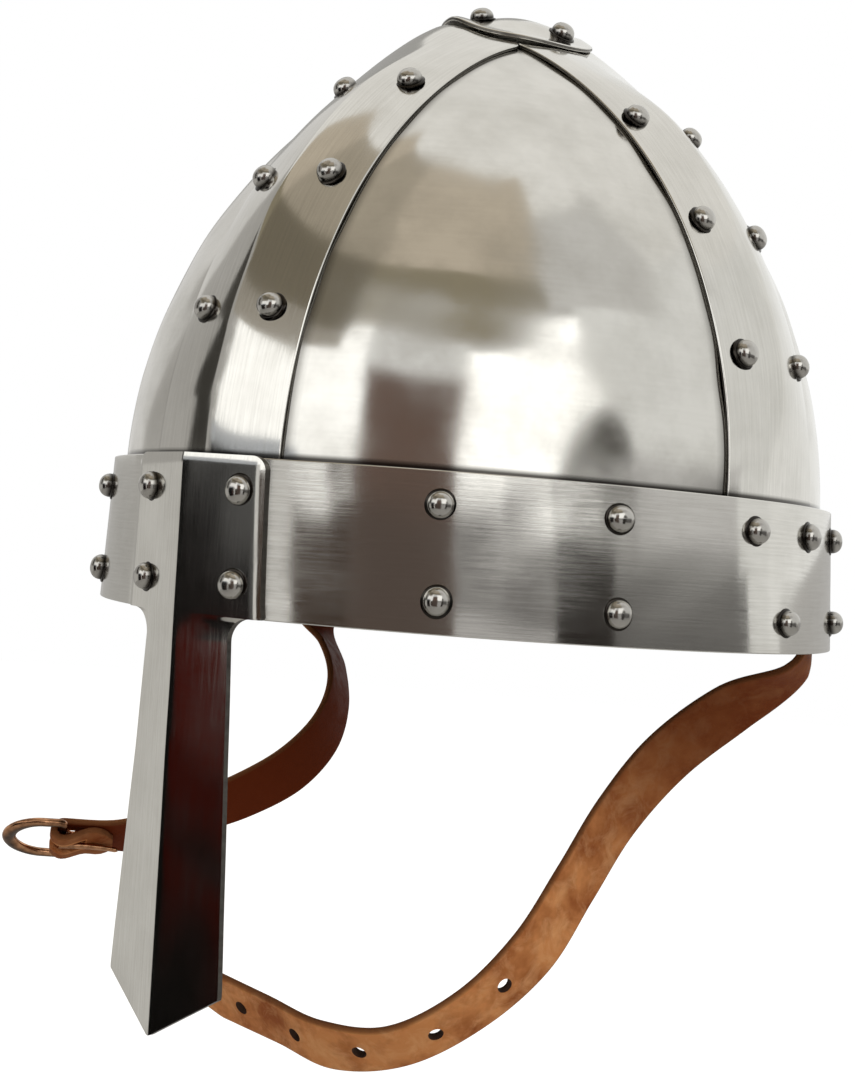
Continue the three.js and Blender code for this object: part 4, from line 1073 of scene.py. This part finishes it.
def strap_piece(settings, name, side, line, half, darkening):
    """A strap: a rounded flat section, a slightly domed middle and quarter-circle corners, carried along its stations.
    Points keep how near they are to the strap's edge, and whether they lie on the flesh side, toward the head, or are
    darkened as if they did: by a stain at the right strap's fold, and on the left strap by painted shadow under the
    brow band's rim."""
    corner, thick = settings.strap.edge_round, settings.strap.thick / 2
    dome = 0.00012
    quarter, middle = np.linspace(0, math.pi / 2, 5), np.linspace(0.8, -0.8, 7)
    reach, lift, flat = [], [], []
    for turn, (sign_edge, sign_face) in enumerate(((1, 1), (-1, 1), (-1, -1), (1, -1))):
        angle = quarter + turn * math.pi / 2
        reach.append(np.cos(angle) * corner - sign_edge * corner)
        lift.append(np.sin(angle) * corner + sign_face * (thick - corner))
        flat.append(np.full(len(quarter), sign_edge, float))
        if sign_edge == sign_face:
            reach.append(0 * middle)
            lift.append(sign_face * thick + sign_face * dome * (1 - middle ** 2))
            flat.append(middle * sign_edge)
    reach, lift, flat = np.concatenate(reach), np.concatenate(lift), np.concatenate(flat)
    across = flat[None, :] * half[:, None] + reach[None, :]
    rings = (line["centre"][:, None] + line["edge"][:, None] * across[..., None]
             + line["face"][:, None] * lift[None, :, None])
    points, polygons = tube(rings[:, ::-1])
    piece = make_mesh(name, points, polygons)
    set_sheet_map(piece, np.stack((across, line["travelled"][:, None] + 0 * across), -1)[:, ::-1].reshape(-1, 2))
    set_value(piece, "near_edge", (np.abs(across) / half[:, None])[:, ::-1])
    flesh = smoothstep(side * lift[None, ::-1] / thick, *FLESH_BEGINS) + 0 * across
    set_value(piece, "flesh", np.maximum(flesh, darkening))
    return piece


def placed(matrix, points):
    """Points moved by a 4 by 4 matrix."""
    return points @ matrix[:3, :3].T + matrix[:3, 3]


def cylinder_tool(centres, normals, radius, length):
    """Closed round cutters along normals, as one mesh."""
    angle = np.linspace(0, FULL_TURN, 20, endpoint=False)
    ring = np.stack((radius * np.cos(angle), radius * np.sin(angle), 0 * angle), -1)
    points, polygons = tube(np.stack((ring - (0, 0, length / 2), ring + (0, 0, length / 2))))
    moved = np.einsum("nij,vj->nvi", facing_frames(normals), points) + np.asarray(centres)[:, None]
    return make_mesh("punch", moved.reshape(-1, 3), copies(polygons, len(centres), len(points)))


def box_tool(matrix, low, high):
    """A closed box cutter between two corners, in a turned frame."""
    (x0, y0, z0), (x1, y1, z1) = low, high
    ring = np.array(((x0, y0, 0), (x1, y0, 0), (x1, y1, 0), (x0, y1, 0)))
    points, polygons = tube(np.stack((ring + (0, 0, z0), ring + (0, 0, z1))))
    return make_mesh("slot_tool", placed(matrix, points), polygons)


def buckle_place(settings):
    """The bar's frame: x along the strap toward its free end, y along the bar, z on the strap's face."""
    line = strap_line(settings, -1, RIGHT_BENDS)
    radius = settings.buckle.bar_radius + settings.buckle.bar_clear + settings.strap.thick / 2
    matrix = np.eye(4)
    matrix[:3, 0], matrix[:3, 1], matrix[:3, 2] = line["along"][-1], line["edge"][-1], line["face"][-1]
    matrix[:3, 3] = line["centre"][-1] - line["face"][-1] * radius
    return line, radius, matrix


def mark_hole_walls(piece, centres, normals, radius, reach):
    """Gives the second material to the faces of punched holes: their middles lie near a hole's axis and within its
    reach, and they face across it."""
    polygons = piece.data.polygons
    middles, facing = np.zeros(3 * len(polygons)), np.zeros(3 * len(polygons))
    polygons.foreach_get("center", middles)
    polygons.foreach_get("normal", facing)
    offset = middles.reshape(-1, 1, 3) - centres[None]
    along = (offset * normals[None]).sum(-1, keepdims=True)
    away = np.linalg.norm(offset - along * normals[None], axis=-1)
    lean_limit, margin = 0.5, 1.02
    upright = np.abs((facing.reshape(-1, 1, 3) * normals[None]).sum(-1)) < lean_limit
    inside = ((away < margin * radius) & (np.abs(along[..., 0]) < reach) & upright).any(1)
    polygons.foreach_set("material_index", inside.astype(np.int32))


def make_left_strap(settings):
    """Punched strap: its width follows a root toward the pointed tail, and round holes are cut through it."""
    strap = settings.strap
    line = strap_line(settings, 1, LEFT_BENDS, pointed=True)
    travelled = line["travelled"]
    to_end = travelled[-1] - travelled
    half = strap.tail_half + (strap.half - strap.tail_half) * np.sqrt(np.minimum(to_end / strap.tail_point, 1))
    # Painted shadow under the brow band's rim, darkest at the strap's top
    darkening = LEFT_RIM_SHADE * (1 - smoothstep(travelled, *LEFT_RIM_SHADE_FADES))[:, None]
    piece = strap_piece(settings, "leather_strap_left", 1, line, half, darkening)
    holes = strap.first_hole + strap.hole_pitch * np.arange(HOLES)
    centres, normals = (np.stack([np.interp(holes, travelled, line[key][:, k]) for k in range(3)], -1)
                        for key in ("centre", "face"))
    normals = unit(normals)
    join_or_cut(piece, cylinder_tool(centres, normals, strap.hole_radius, 4 * strap.thick), "DIFFERENCE")
    mark_hole_walls(piece, centres, normals, strap.hole_radius, strap.thick)
    smooth(piece, 45)
    settle(piece, ["strap_left"], (leather_finish(settings), shaded_cut_finish(settings)))


def make_right_strap(settings):
    """Buckle strap: runs over the bar, round it in a half circle and back under itself to a rounded end, narrowing
    toward the fold, with a slot for the tongue."""
    strap, skull, buckle = settings.strap, settings.skull, settings.buckle
    line, radius, matrix = buckle_place(settings)
    along, edge, face = matrix[:3, 0], matrix[:3, 1], matrix[:3, 2]
    travelled = line["travelled"]
    angle = np.linspace(0, math.pi, 21)[1:, None]
    fold_face = face * np.cos(angle) + along * np.sin(angle)
    fold = {"centre": matrix[:3, 3] + fold_face * radius, "edge": np.repeat(edge[None], len(angle), 0),
            "face": fold_face, "travelled": travelled[-1] + 0 * angle[:, 0]}
    behind = travelled[-1] - travelled[-2::-1]
    kept = np.nonzero(behind <= strap.fold_tail)[0]
    rows = len(travelled) - 2 - kept
    open_share = 1 - smoothstep(behind[kept], 0, strap.fold_closes)
    closed = strap.thick + skull.seat
    apart = closed + (2 * radius - strap.thick - skull.seat) * open_share
    tail = {"centre": line["centre"][rows] - line["face"][rows] * apart[:, None], "edge": line["edge"][rows],
            "face": -line["face"][rows], "travelled": travelled[rows]}
    whole = {key: np.concatenate((line[key], fold[key], tail[key])) for key in fold}
    narrowed = smoothstep(travelled[-1] - whole["travelled"], 0, strap.fold_narrows)
    half = strap.fold_half + (strap.half - strap.fold_half) * narrowed
    to_end = behind[kept][-1] - behind[kept]
    rounded = 1 - (1 - to_end / strap.fold_half) ** 2 * (to_end < strap.fold_half)
    least = 0.12
    half[-len(kept):] *= np.sqrt(np.clip(rounded, least, 1))
    darkening = FOLD_STAIN * smoothstep(np.arange(len(half)) - len(travelled), *FOLD_STAIN_GROWS)[:, None]
    piece = strap_piece(settings, "leather_strap_right", -1, whole, half, darkening)
    # Corners of the two cutters in the bar's frame: under the strap for the tongue, and right through for its eye
    wide, past = buckle.slot_half, buckle.slot_past
    tongue_slot = ((-0.007, -wide, -0.0146), (past, wide, buckle.bar_radius))
    eye_slot = ((-0.00335, -wide, -0.008), (past, wide, 0.008))
    for low, high in (tongue_slot, eye_slot):
        join_or_cut(piece, box_tool(matrix, low, high), "DIFFERENCE")
    smooth(piece, 45)
    settle(piece, ["strap_right"], (leather_finish(settings),))


# Buckle

def round_ring(radius):
    """Points of a circle, from its first axis toward its second."""
    angle = np.linspace(0, FULL_TURN, 18, endpoint=False)
    return np.stack((np.cos(angle), np.sin(angle)), -1) * radius


def make_buckle_frame(settings):
    """Frame: a round section, broader at the bow, carried round a D outline of a straight bar, two small corners and a
    half ellipse. Its lower faces are darkened as painted shade."""
    buckle = settings.buckle
    _, _, matrix = buckle_place(settings)
    wire_radius = buckle.wire / 2
    reach, half = buckle.length - wire_radius, buckle.half - wire_radius
    bow = reach * buckle.round_share
    bend = buckle.corner
    corner = np.linspace(0, math.pi / 2, 6)
    sweep = np.linspace(-math.pi / 2, math.pi / 2, 40)
    bar = np.linspace(half - bend, bend - half, 8)
    outline = np.concatenate((
        np.stack((0 * bar, bar), -1),
        np.stack((bend - bend * np.cos(corner), bend - half - bend * np.sin(corner)), -1)[1:],
        np.stack((reach - bow + bow * np.cos(sweep), half * np.sin(sweep)), -1),
        np.stack((bend - bend * np.sin(corner), half - bend + bend * np.cos(corner)), -1)[:-1],
    ))
    ahead = unit(np.roll(outline, -1, 0) - np.roll(outline, 1, 0))
    out = np.stack((ahead[:, 1], -ahead[:, 0]), -1)
    ring = round_ring(wire_radius)
    around = np.concatenate((out[:, None] * ring[None, :, :1], 0 * out[:, None, :1] + ring[None, :, 1:]), -1)
    grow = buckle.bow_grow * smoothstep(outline[:, 0], 0.003, reach)[:, None]
    rings = around.copy()
    rings[..., :2] = (outline - out * grow)[:, None] + around[..., :2] * (1 + grow / wire_radius)[:, None]
    points, polygons = tube(rings, closed=True)
    piece = make_mesh("copper_buckle_frame", placed(matrix, points), polygons)
    # Painted shade: darkest where the wire faces down
    facing = around @ matrix[2, :3] / wire_radius
    set_value(piece, "grime", 0.9 * smoothstep(-facing, 0.2, 0.9))
    smooth(piece, 60)
    brass = metal_finish(settings, "tarnished_copper_brass")
    settle(piece, ["buckle_frame"], (brass,), "buckle_frame")


def make_buckle_tongue(settings):
    """Tongue: a ring with bevelled rims turned about the bar, joined to a slightly bowed pin that tapers to a round
    tip."""
    buckle = settings.buckle
    _, _, matrix = buckle_place(settings)
    inner = buckle.bar_radius + buckle.bar_clear
    outer = inner + buckle.eye_wall
    turn = np.linspace(0, FULL_TURN, 40, endpoint=False)[:, None]
    bevel_share = 0.3
    bevel = buckle.eye_wall * bevel_share
    away = np.array((inner, inner + bevel, outer - bevel, outer, outer, outer - bevel, inner + bevel, inner))
    rim = buckle.eye_half - np.where((away == inner) | (away == outer), bevel, 0)
    side = np.repeat((-1, 1), 4) * rim
    eye = np.stack((np.cos(turn) * away, 0 * turn + side, np.sin(turn) * away), -1)
    points, polygons = tube(eye, closed=True)
    tongue = make_mesh("copper_buckle_tongue", placed(matrix, points), polygons)
    start = np.array((0.001, 0, -(inner + outer) / 2))
    end = np.array((-buckle.tongue_length, 0, -buckle.tongue_lie))
    share = np.linspace(0, 1, 24)
    middle = start + (end - start) * share[:, None]
    middle[:, 2] += buckle.pin_bow * np.sin(math.pi * share)
    tip_ends, tip_share, tip_least = 1.02, 0.06, 0.05
    tip = np.sqrt(np.clip((tip_ends - share) / tip_share, tip_least, 1))
    thick = (buckle.pin_radius - buckle.pin_taper * share) * tip
    circle = round_ring(1.0)
    ring = np.concatenate((0 * circle[:, :1], circle), -1)
    points, polygons = tube((middle[:, None] + thick[:, None, None] * ring[None])[:, ::-1])
    join_or_cut(tongue, make_mesh("pin", placed(matrix, points), polygons), "UNION")
    smooth(tongue, 50)
    brass = metal_finish(settings, "tarnished_copper_brass")
    settle(tongue, ["buckle_tongue"], (brass,), "buckle_tongue")


# Finishes

def node(tree, kind, place, **values):
    """A shader node with its fields and input values set."""
    made = tree.nodes.new(kind)
    made.location = place
    for key, value in values.items():
        if key in made.inputs:
            made.inputs[key].default_value = value
        else:
            setattr(made, key, value)
    return made


def wire(tree, *links):
    """Joins sockets: each link names a node and its output, then a node and its input."""
    for source, output, target, socket in links:
        tree.links.new(source.outputs[output], target.inputs[socket])


def math_node(tree, place, operation, factor):
    """A sum or a product with a constant factor."""
    made = node(tree, "ShaderNodeMath", place, operation=operation)
    made.inputs[1].default_value = factor
    return made


def levels_node(tree, place, given=(0.0, 1.0), wanted=(0.0, 1.0)):
    """A straight change of one range of values into another."""
    return node(tree, "ShaderNodeMapRange", place, **{"From Min": given[0], "From Max": given[1],
                                                      "To Min": wanted[0], "To Max": wanted[1]})


def mix_node(tree, place, first, second):
    """A mix of two colours."""
    mix = node(tree, "ShaderNodeMix", place, data_type="RGBA")
    mix.inputs[MIX_FIRST].default_value = (*first, 1)
    mix.inputs[MIX_SECOND].default_value = (*second, 1)
    return mix


def new_group(name, inputs, outputs):
    """A node group with its sockets: inputs give a name and a default, or None for a place."""
    group = bpy.data.node_groups.new(name, "ShaderNodeTree")
    for label, default in inputs:
        kind = "NodeSocketVector" if default is None else "NodeSocketFloat"
        socket = group.interface.new_socket(label, in_out="INPUT", socket_type=kind)
        if default is not None:
            socket.default_value = default
    for label in outputs:
        group.interface.new_socket(label, in_out="OUTPUT", socket_type="NodeSocketFloat")
    return group, node(group, "NodeGroupInput", (-900, 0)), node(group, "NodeGroupOutput", (360, 0))


def sheet_wear_group():
    """Worn metal: soft patches by place, fine polishing streaks along the sheet, and the height of both."""
    name = "sheet_wear"
    if name in bpy.data.node_groups:
        return bpy.data.node_groups[name]
    group, given, result = new_group(name, (("Place", None), ("Sheet", None), ("Patch Scale", 40.0),
                                            ("Streak Scale", 90.0)), ("Patches", "Streaks", "Height"))
    patch = node(group, "ShaderNodeTexNoise", (-600, 200), Detail=5.0, Roughness=0.58)
    stretch = node(group, "ShaderNodeMapping", (-700, -150), Scale=(0.9, 26.0, 1.0))
    streak = node(group, "ShaderNodeTexNoise", (-450, -150), Detail=4.0, Roughness=0.62)
    fine = node(group, "ShaderNodeTexNoise", (-450, -420), Detail=3.0, Roughness=0.6, Scale=900.0)
    patch_levels = levels_node(group, (-380, 200), (0.36, 0.66))
    streak_levels = levels_node(group, (-220, -150), (0.35, 0.68))
    streak_height = math_node(group, (0, -200), "MULTIPLY_ADD", 0.55)
    height = math_node(group, (160, -60), "MULTIPLY_ADD", 0.5)
    wire(group, (given, "Place", patch, "Vector"), (given, "Patch Scale", patch, "Scale"),
         (given, "Sheet", stretch, "Vector"), (stretch, "Vector", streak, "Vector"),
         (given, "Streak Scale", streak, "Scale"), (given, "Place", fine, "Vector"),
         (patch, "Fac", patch_levels, "Value"), (streak, "Fac", streak_levels, "Value"),
         (streak_levels, "Result", streak_height, 0), (fine, "Fac", streak_height, 2),
         (patch_levels, "Result", height, 0), (streak_height, "Value", height, 2),
         (patch_levels, "Result", result, "Patches"), (streak_levels, "Result", result, "Streaks"),
         (height, "Value", result, "Height"))
    return group


def leather_grain_group():
    """Worn leather: large patches, rubbed streaks, and the height of its pores and creases."""
    name = "leather_grain"
    if name in bpy.data.node_groups:
        return bpy.data.node_groups[name]
    group, given, result = new_group(name, (("Place", None),), ("Patches", "Rubs", "Height"))
    patch = node(group, "ShaderNodeTexNoise", (-600, 250), Scale=62.0, Detail=4.0, Roughness=0.6)
    rub = node(group, "ShaderNodeTexNoise", (-600, 0), Scale=150.0, Detail=5.0, Roughness=0.65, Distortion=0.6)
    pore = node(group, "ShaderNodeTexVoronoi", (-600, -250), Scale=1500.0)
    crease = node(group, "ShaderNodeTexNoise", (-600, -500), Scale=420.0, Detail=4.0, Roughness=0.6)
    patch_levels = levels_node(group, (-350, 250), (0.38, 0.64))
    rub_levels = levels_node(group, (-350, 0), (0.46, 0.7))
    height = math_node(group, (-200, -350), "MULTIPLY_ADD", 0.5)
    wire(group, *((given, "Place", texture, "Vector") for texture in (patch, rub, pore, crease)),
         (patch, "Fac", patch_levels, "Value"), (rub, "Fac", rub_levels, "Value"),
         (pore, "Distance", height, 0), (crease, "Fac", height, 2),
         (patch_levels, "Result", result, "Patches"), (rub_levels, "Result", result, "Rubs"),
         (height, "Value", result, "Height"))
    return group


def empty_tree(owner):
    """The node tree of a material or world, with nothing in it."""
    owner.use_nodes = True
    owner.node_tree.nodes.clear()
    return owner.node_tree


def new_finish(name, **values):
    """A material with a shader, whose own values are given, and its output."""
    material = bpy.data.materials.new(name)
    tree = empty_tree(material)
    shader = node(tree, "ShaderNodeBsdfPrincipled", (500, 0), **values)
    wire(tree, (shader, "BSDF", node(tree, "ShaderNodeOutputMaterial", (800, 0)), "Surface"))
    return material, tree, shader


def metal_finish(settings, name):
    """Worn metal: colour and roughness follow the patches and streaks, with a low bump, and the stored painted shade
    and dirt darkening it.
    """
    if name in bpy.data.materials:
        return bpy.data.materials[name]
    finish = settings.finish
    bright, dull, dimmed, gloss, (patch_scale, streak_scale), relief, streaky = METALS[name]
    dull_colour = [dimmed * part for part in getattr(finish, dull)]
    material, tree, shader = new_finish(name, Metallic=1.0)
    place = node(tree, "ShaderNodeTexCoord", (-900, 0))
    wear = node(tree, "ShaderNodeGroup", (-600, 0), node_tree=sheet_wear_group(),
                **{"Patch Scale": patch_scale, "Streak Scale": streak_scale})
    # Stored mask of painted shade, with some dirt, that mixes in the shade colour
    shade_and_dirt = node(tree, "ShaderNodeAttribute", (0, 450), attribute_name="grime")
    patch_share = math_node(tree, (-420, -220), "MULTIPLY", 1 - streaky)
    worn = math_node(tree, (-250, -100), "MULTIPLY_ADD", streaky)
    colour = mix_node(tree, (0, 200), getattr(finish, bright), dull_colour)
    shade_and_grime_mix = mix_node(tree, (250, 300), getattr(finish, bright), finish.grime)
    rough = levels_node(tree, (0, -100), wanted=gloss)
    height = node(tree, "ShaderNodeBump", (250, -300), Strength=1.0, Distance=relief)
    wire(tree, (place, "Object", wear, "Place"), (place, "UV", wear, "Sheet"),
         (wear, "Patches", patch_share, 0), (patch_share, "Value", worn, 2), (wear, "Streaks", worn, 0),
         (worn, "Value", rough, "Value"), (worn, "Value", colour, MIX_SHARE), (wear, "Height", height, "Height"),
         (shade_and_dirt, "Fac", shade_and_grime_mix, MIX_SHARE), (colour, MIX_RESULT, shade_and_grime_mix, MIX_FIRST),
         (shade_and_grime_mix, MIX_RESULT, shader, "Base Color"), (rough, "Result", shader, "Roughness"),
         (height, "Normal", shader, "Normal"))
    return material


def sheet_finishes(settings, polish):
    """Finishes of a sheet's polished face, sheared edges and inner face."""
    return [metal_finish(settings, name) for name in (polish, "sheared_edge", "dull_inner_steel")]


def shaded_cut_finish(settings):
    """Cut leather in the punched holes, darkened as painted shade of the holes' insides: two dark browns by the
    leather's patches.
    """
    name = "cut_leather"
    if name in bpy.data.materials:
        return bpy.data.materials[name]
    browns = ([dimmed * part for part in settings.finish.tan_edge] for dimmed in (0.22, 0.5))
    material, tree, shader = new_finish(name, Roughness=0.85)
    place = node(tree, "ShaderNodeTexCoord", (-600, 0))
    grain = node(tree, "ShaderNodeGroup", (-350, 0), node_tree=leather_grain_group())
    mix = mix_node(tree, (0, 0), *browns)
    wire(tree, (place, "Object", grain, "Place"), (grain, "Rubs", mix, MIX_SHARE),
         (mix, MIX_RESULT, shader, "Base Color"))
    return material


def leather_finish(settings):
    """Tan leather: oiled patches, rubbed streaks, a dark flesh side that also carries stains and painted shadow, and
    burnished edges, laid over each other in that order, and pores and creases as bump."""
    name = "worn_tan_leather"
    if name in bpy.data.materials:
        return bpy.data.materials[name]
    finish = settings.finish
    material, tree, shader = new_finish(name, **{"Specular IOR Level": 0.03})
    place = node(tree, "ShaderNodeTexCoord", (-900, 0))
    grain = node(tree, "ShaderNodeGroup", (-650, 0), node_tree=leather_grain_group())
    near = node(tree, "ShaderNodeAttribute", (-900, -350), attribute_name="near_edge")
    edge = levels_node(tree, (-600, -350), (0.9, 1.0), (0.0, 0.8))
    # Flesh side, stains and the painted shadow under the rim, as one mask
    inside = node(tree, "ShaderNodeAttribute", (-900, -550), attribute_name="flesh")
    rub_share = math_node(tree, (-400, 0), "MULTIPLY", 0.6)
    rough = levels_node(tree, (150, -100), wanted=(0.45, 0.7))
    height = node(tree, "ShaderNodeBump", (250, -350), Strength=0.35, Distance=0.0003)
    layers = ((finish.tan_dark, grain, "Patches"), (finish.tan_rubbed, rub_share, "Value"),
              (finish.flesh, inside, "Fac"), (finish.tan_edge, edge, "Result"))
    below = None
    for step, (colour, source, output) in enumerate(layers):
        mix = mix_node(tree, (-300 + 180 * step, 250), finish.tan, colour)
        wire(tree, (source, output, mix, MIX_SHARE))
        if below is not None:
            wire(tree, (below, MIX_RESULT, mix, MIX_FIRST))
        below = mix
    wire(tree, (place, "Object", grain, "Place"), (grain, "Rubs", rub_share, 0), (near, "Fac", edge, "Value"),
         (below, MIX_RESULT, shader, "Base Color"), (grain, "Rubs", rough, "Value"),
         (grain, "Height", height, "Height"), (rough, "Result", shader, "Roughness"),
         (height, "Normal", shader, "Normal"))
    return material


# Stage

def glow(name, light):
    """A plain glowing material for a studio card."""
    material = bpy.data.materials.new(name)
    tree = empty_tree(material)
    strength = max(light)
    hue = [part / strength for part in light]
    lamp = node(tree, "ShaderNodeEmission", (0, 0), Color=(*hue, 1), Strength=strength)
    wire(tree, (lamp, "Emission", node(tree, "ShaderNodeOutputMaterial", (200, 0)), "Surface"))
    return material


def camera_mix(tree, place, plain, seen, out):
    """One shader for light and reflections, and another where the camera sees the surface."""
    path = node(tree, "ShaderNodeLightPath", (place[0] - 400, place[1] + 200))
    mix = node(tree, "ShaderNodeMixShader", place)
    wire(tree, (path, "Is Camera Ray", mix, 0), (plain, 0, mix, 1), (seen, 0, mix, 2), (mix, "Shader", out, "Surface"))


def make_card(name, azimuths, elevations, taper, radius, light):
    """A studio card: a patch of a sphere about the origin, narrowing toward its top, seen only in reflections."""
    rows, columns = 16, 32
    upward = np.linspace(0, 1, rows + 1)[:, None]
    across = np.linspace(-0.5, 0.5, columns + 1)[None, :] * (1 + (taper - 1) * upward ** 2)
    azimuth = np.radians((azimuths[0] + azimuths[1]) / 2 + (azimuths[1] - azimuths[0]) * across)
    elevation = np.radians(elevations[0] + (elevations[1] - elevations[0]) * upward) + 0 * azimuth
    points = radius * np.stack((np.sin(azimuth) * np.cos(elevation), -np.cos(azimuth) * np.cos(elevation),
                                np.sin(elevation)), -1)
    piece = make_mesh(name, points.reshape(-1, 3), grid_faces(rows, columns, flip=True))
    piece.data.materials.append(glow(name, light))
    piece.visible_camera = False
    piece.visible_shadow = False


def make_floor(stage):
    """A round pale floor: rings of points out from its middle, their radii growing as squares."""
    rings, sides = 29, 96
    radius = np.linspace(0, 1, rings + 1)[1:, None] ** 2 * stage.floor_radius
    angle = np.linspace(0, FULL_TURN, sides, endpoint=False)[None, :]
    points = np.stack((radius * np.cos(angle), radius * np.sin(angle), stage.floor_height + 0 * radius * angle), -1)
    middle = np.array(((0, 0, stage.floor_height),))
    around = np.arange(sides)
    hub = np.stack((0 * around, 1 + around, 1 + (around + 1) % sides), -1)
    quads = grid_faces(rings - 1, sides, 1, ring=True, flip=True)
    floor = make_mesh("floor", np.concatenate((middle, points.reshape(-1, 3))), hub.tolist() + quads.tolist())
    material = bpy.data.materials.new("pale_floor")
    tree = empty_tree(material)
    pale = {"Base Color": (*stage.floor_colour, 1), "Roughness": 0.9}
    plain = node(tree, "ShaderNodeBsdfPrincipled", (500, 0), **pale)
    seen = node(tree, "ShaderNodeBsdfPrincipled", (500, -400), **pale,
                **{"Emission Color": (1, 1, 1, 1), "Emission Strength": stage.floor_glow})
    camera_mix(tree, (900, 0), plain, seen, node(tree, "ShaderNodeOutputMaterial", (1100, 0)))
    floor.data.materials.append(material)


def make_room(stage):
    """Soft room light, with a plain white view behind the object."""
    world = bpy.data.worlds.new("room")
    tree = empty_tree(world)
    soft = node(tree, "ShaderNodeBackground", (-200, 0), Color=(*stage.room, 1), Strength=1.0)
    white = node(tree, "ShaderNodeBackground", (-200, -150), Color=(1, 1, 1, 1), Strength=1.0)
    camera_mix(tree, (0, 0), soft, white, node(tree, "ShaderNodeOutputWorld", (200, 0)))
    bpy.context.scene.world = world


def make_camera():
    """The photograph's camera: out along its own back axis from a point in its plane, rolled about that axis."""
    azimuth, elevation, roll = (math.radians(CAMERA[key]) for key in ("azimuth", "elevation", "roll"))
    level = np.array((math.cos(azimuth), math.sin(azimuth), 0.0))
    outward = np.array((math.sin(azimuth), -math.cos(azimuth), 0.0))
    back = outward * math.cos(elevation) + np.array((0.0, 0.0, math.sin(elevation)))
    upright = np.cross(back, level)
    right = math.cos(roll) * level + math.sin(roll) * upright
    up = -math.sin(roll) * level + math.cos(roll) * upright
    data = bpy.data.cameras.new("camera")
    data.lens = CAMERA["lens"]
    data.sensor_width = 36.0
    data.clip_start = 0.01
    data.clip_end = 50.0
    camera = bpy.data.objects.new("camera", data)
    bpy.context.scene.collection.objects.link(camera)
    matrix = np.eye(4)
    matrix[:3, 0], matrix[:3, 1], matrix[:3, 2] = right, up, back
    matrix[:3, 3] = CAMERA["right"] * right + CAMERA["up"] * up + CAMERA["distance"] * back
    camera.matrix_world = Matrix(matrix.tolist())
    bpy.context.scene.camera = camera


# Operators

class HELMET_OT_infill_plates(bpy.types.Operator):
    """Make the polished infill plates of the skull"""

    bl_idname = "helmet.infill_plates"
    bl_label = "Infill plates"

    def execute(self, context):
        make_plates(context.scene.helmet)
        return {"FINISHED"}


class HELMET_OT_bands(bpy.types.Operator):
    """Make the ridged bands over the plates' edges"""

    bl_idname = "helmet.bands"
    bl_label = "Bands"

    def execute(self, context):
        make_bands(context.scene.helmet)
        return {"FINISHED"}


class HELMET_OT_brow_band(bpy.types.Operator):
    """Make the brow band"""

    bl_idname = "helmet.brow_band"
    bl_label = "Brow band"

    def execute(self, context):
        make_brow_band(context.scene.helmet)
        return {"FINISHED"}


class HELMET_OT_nasal(bpy.types.Operator):
    """Make the nasal"""

    bl_idname = "helmet.nasal"
    bl_label = "Nasal"

    def execute(self, context):
        make_nasal(context.scene.helmet)
        return {"FINISHED"}


class HELMET_OT_crown_cap(bpy.types.Operator):
    """Make the crown cap"""

    bl_idname = "helmet.crown_cap"
    bl_label = "Crown cap"

    def execute(self, context):
        make_cap(context.scene.helmet)
        return {"FINISHED"}


class HELMET_OT_rivets(bpy.types.Operator):
    """Make all rivet heads and their hammered tails"""

    bl_idname = "helmet.rivets"
    bl_label = "Rivets"

    def execute(self, context):
        for make in (make_brow_rivets, make_band_rivets, make_nasal_rivets, make_crown_rivets):
            make(context.scene.helmet)
        return {"FINISHED"}


class HELMET_OT_chin_straps(bpy.types.Operator):
    """Make the two halves of the leather chin strap"""

    bl_idname = "helmet.chin_straps"
    bl_label = "Chin straps"

    def execute(self, context):
        make_left_strap(context.scene.helmet)
        make_right_strap(context.scene.helmet)
        return {"FINISHED"}


class HELMET_OT_buckle(bpy.types.Operator):
    """Make the buckle's frame and tongue"""

    bl_idname = "helmet.buckle"
    bl_label = "Buckle"

    def execute(self, context):
        make_buckle_frame(context.scene.helmet)
        make_buckle_tongue(context.scene.helmet)
        return {"FINISHED"}


class HELMET_OT_stage(bpy.types.Operator):
    """Make the floor, the studio light and the camera"""

    bl_idname = "helmet.stage"
    bl_label = "Stage"

    def execute(self, context):
        stage = context.scene.helmet.stage
        make_floor(stage)
        make_room(stage)
        for card in CARDS:
            make_card(*card)
        make_camera()
        context.scene.view_settings.view_transform = "Standard"
        return {"FINISHED"}


PIECES = (
    HELMET_OT_infill_plates,
    HELMET_OT_bands,
    HELMET_OT_brow_band,
    HELMET_OT_nasal,
    HELMET_OT_crown_cap,
    HELMET_OT_rivets,
    HELMET_OT_chin_straps,
    HELMET_OT_buckle,
    HELMET_OT_stage,
)


class HELMET_PT_pieces(bpy.types.Panel):
    """Sidebar list of the helmet's pieces"""

    bl_idname = "HELMET_PT_pieces"
    bl_label = "Nasal helmet"
    bl_space_type = "VIEW_3D"
    bl_region_type = "UI"
    bl_category = "Helmet"

    def draw(self, context):
        for operator in PIECES:
            self.layout.operator(operator.bl_idname)


CLASSES = (SkullSizes, RivetSizes, NasalSizes, CapSizes, StrapSizes, BuckleSizes, Finishes, StageSettings,
           HelmetSettings, *PIECES, HELMET_PT_pieces)


def register():
    for item in CLASSES:
        bpy.utils.register_class(item)
    bpy.types.Scene.helmet = a_group("Helmet", HelmetSettings)


def unregister():
    del bpy.types.Scene.helmet
    for item in reversed(CLASSES):
        bpy.utils.unregister_class(item)


def main():
    """Registers the classes, and makes every piece and the stage."""
    register()
    for operator in PIECES:
        family, name = operator.bl_idname.split(".")
        getattr(getattr(bpy.ops, family), name)()


if __name__ == "__main__":
    main()
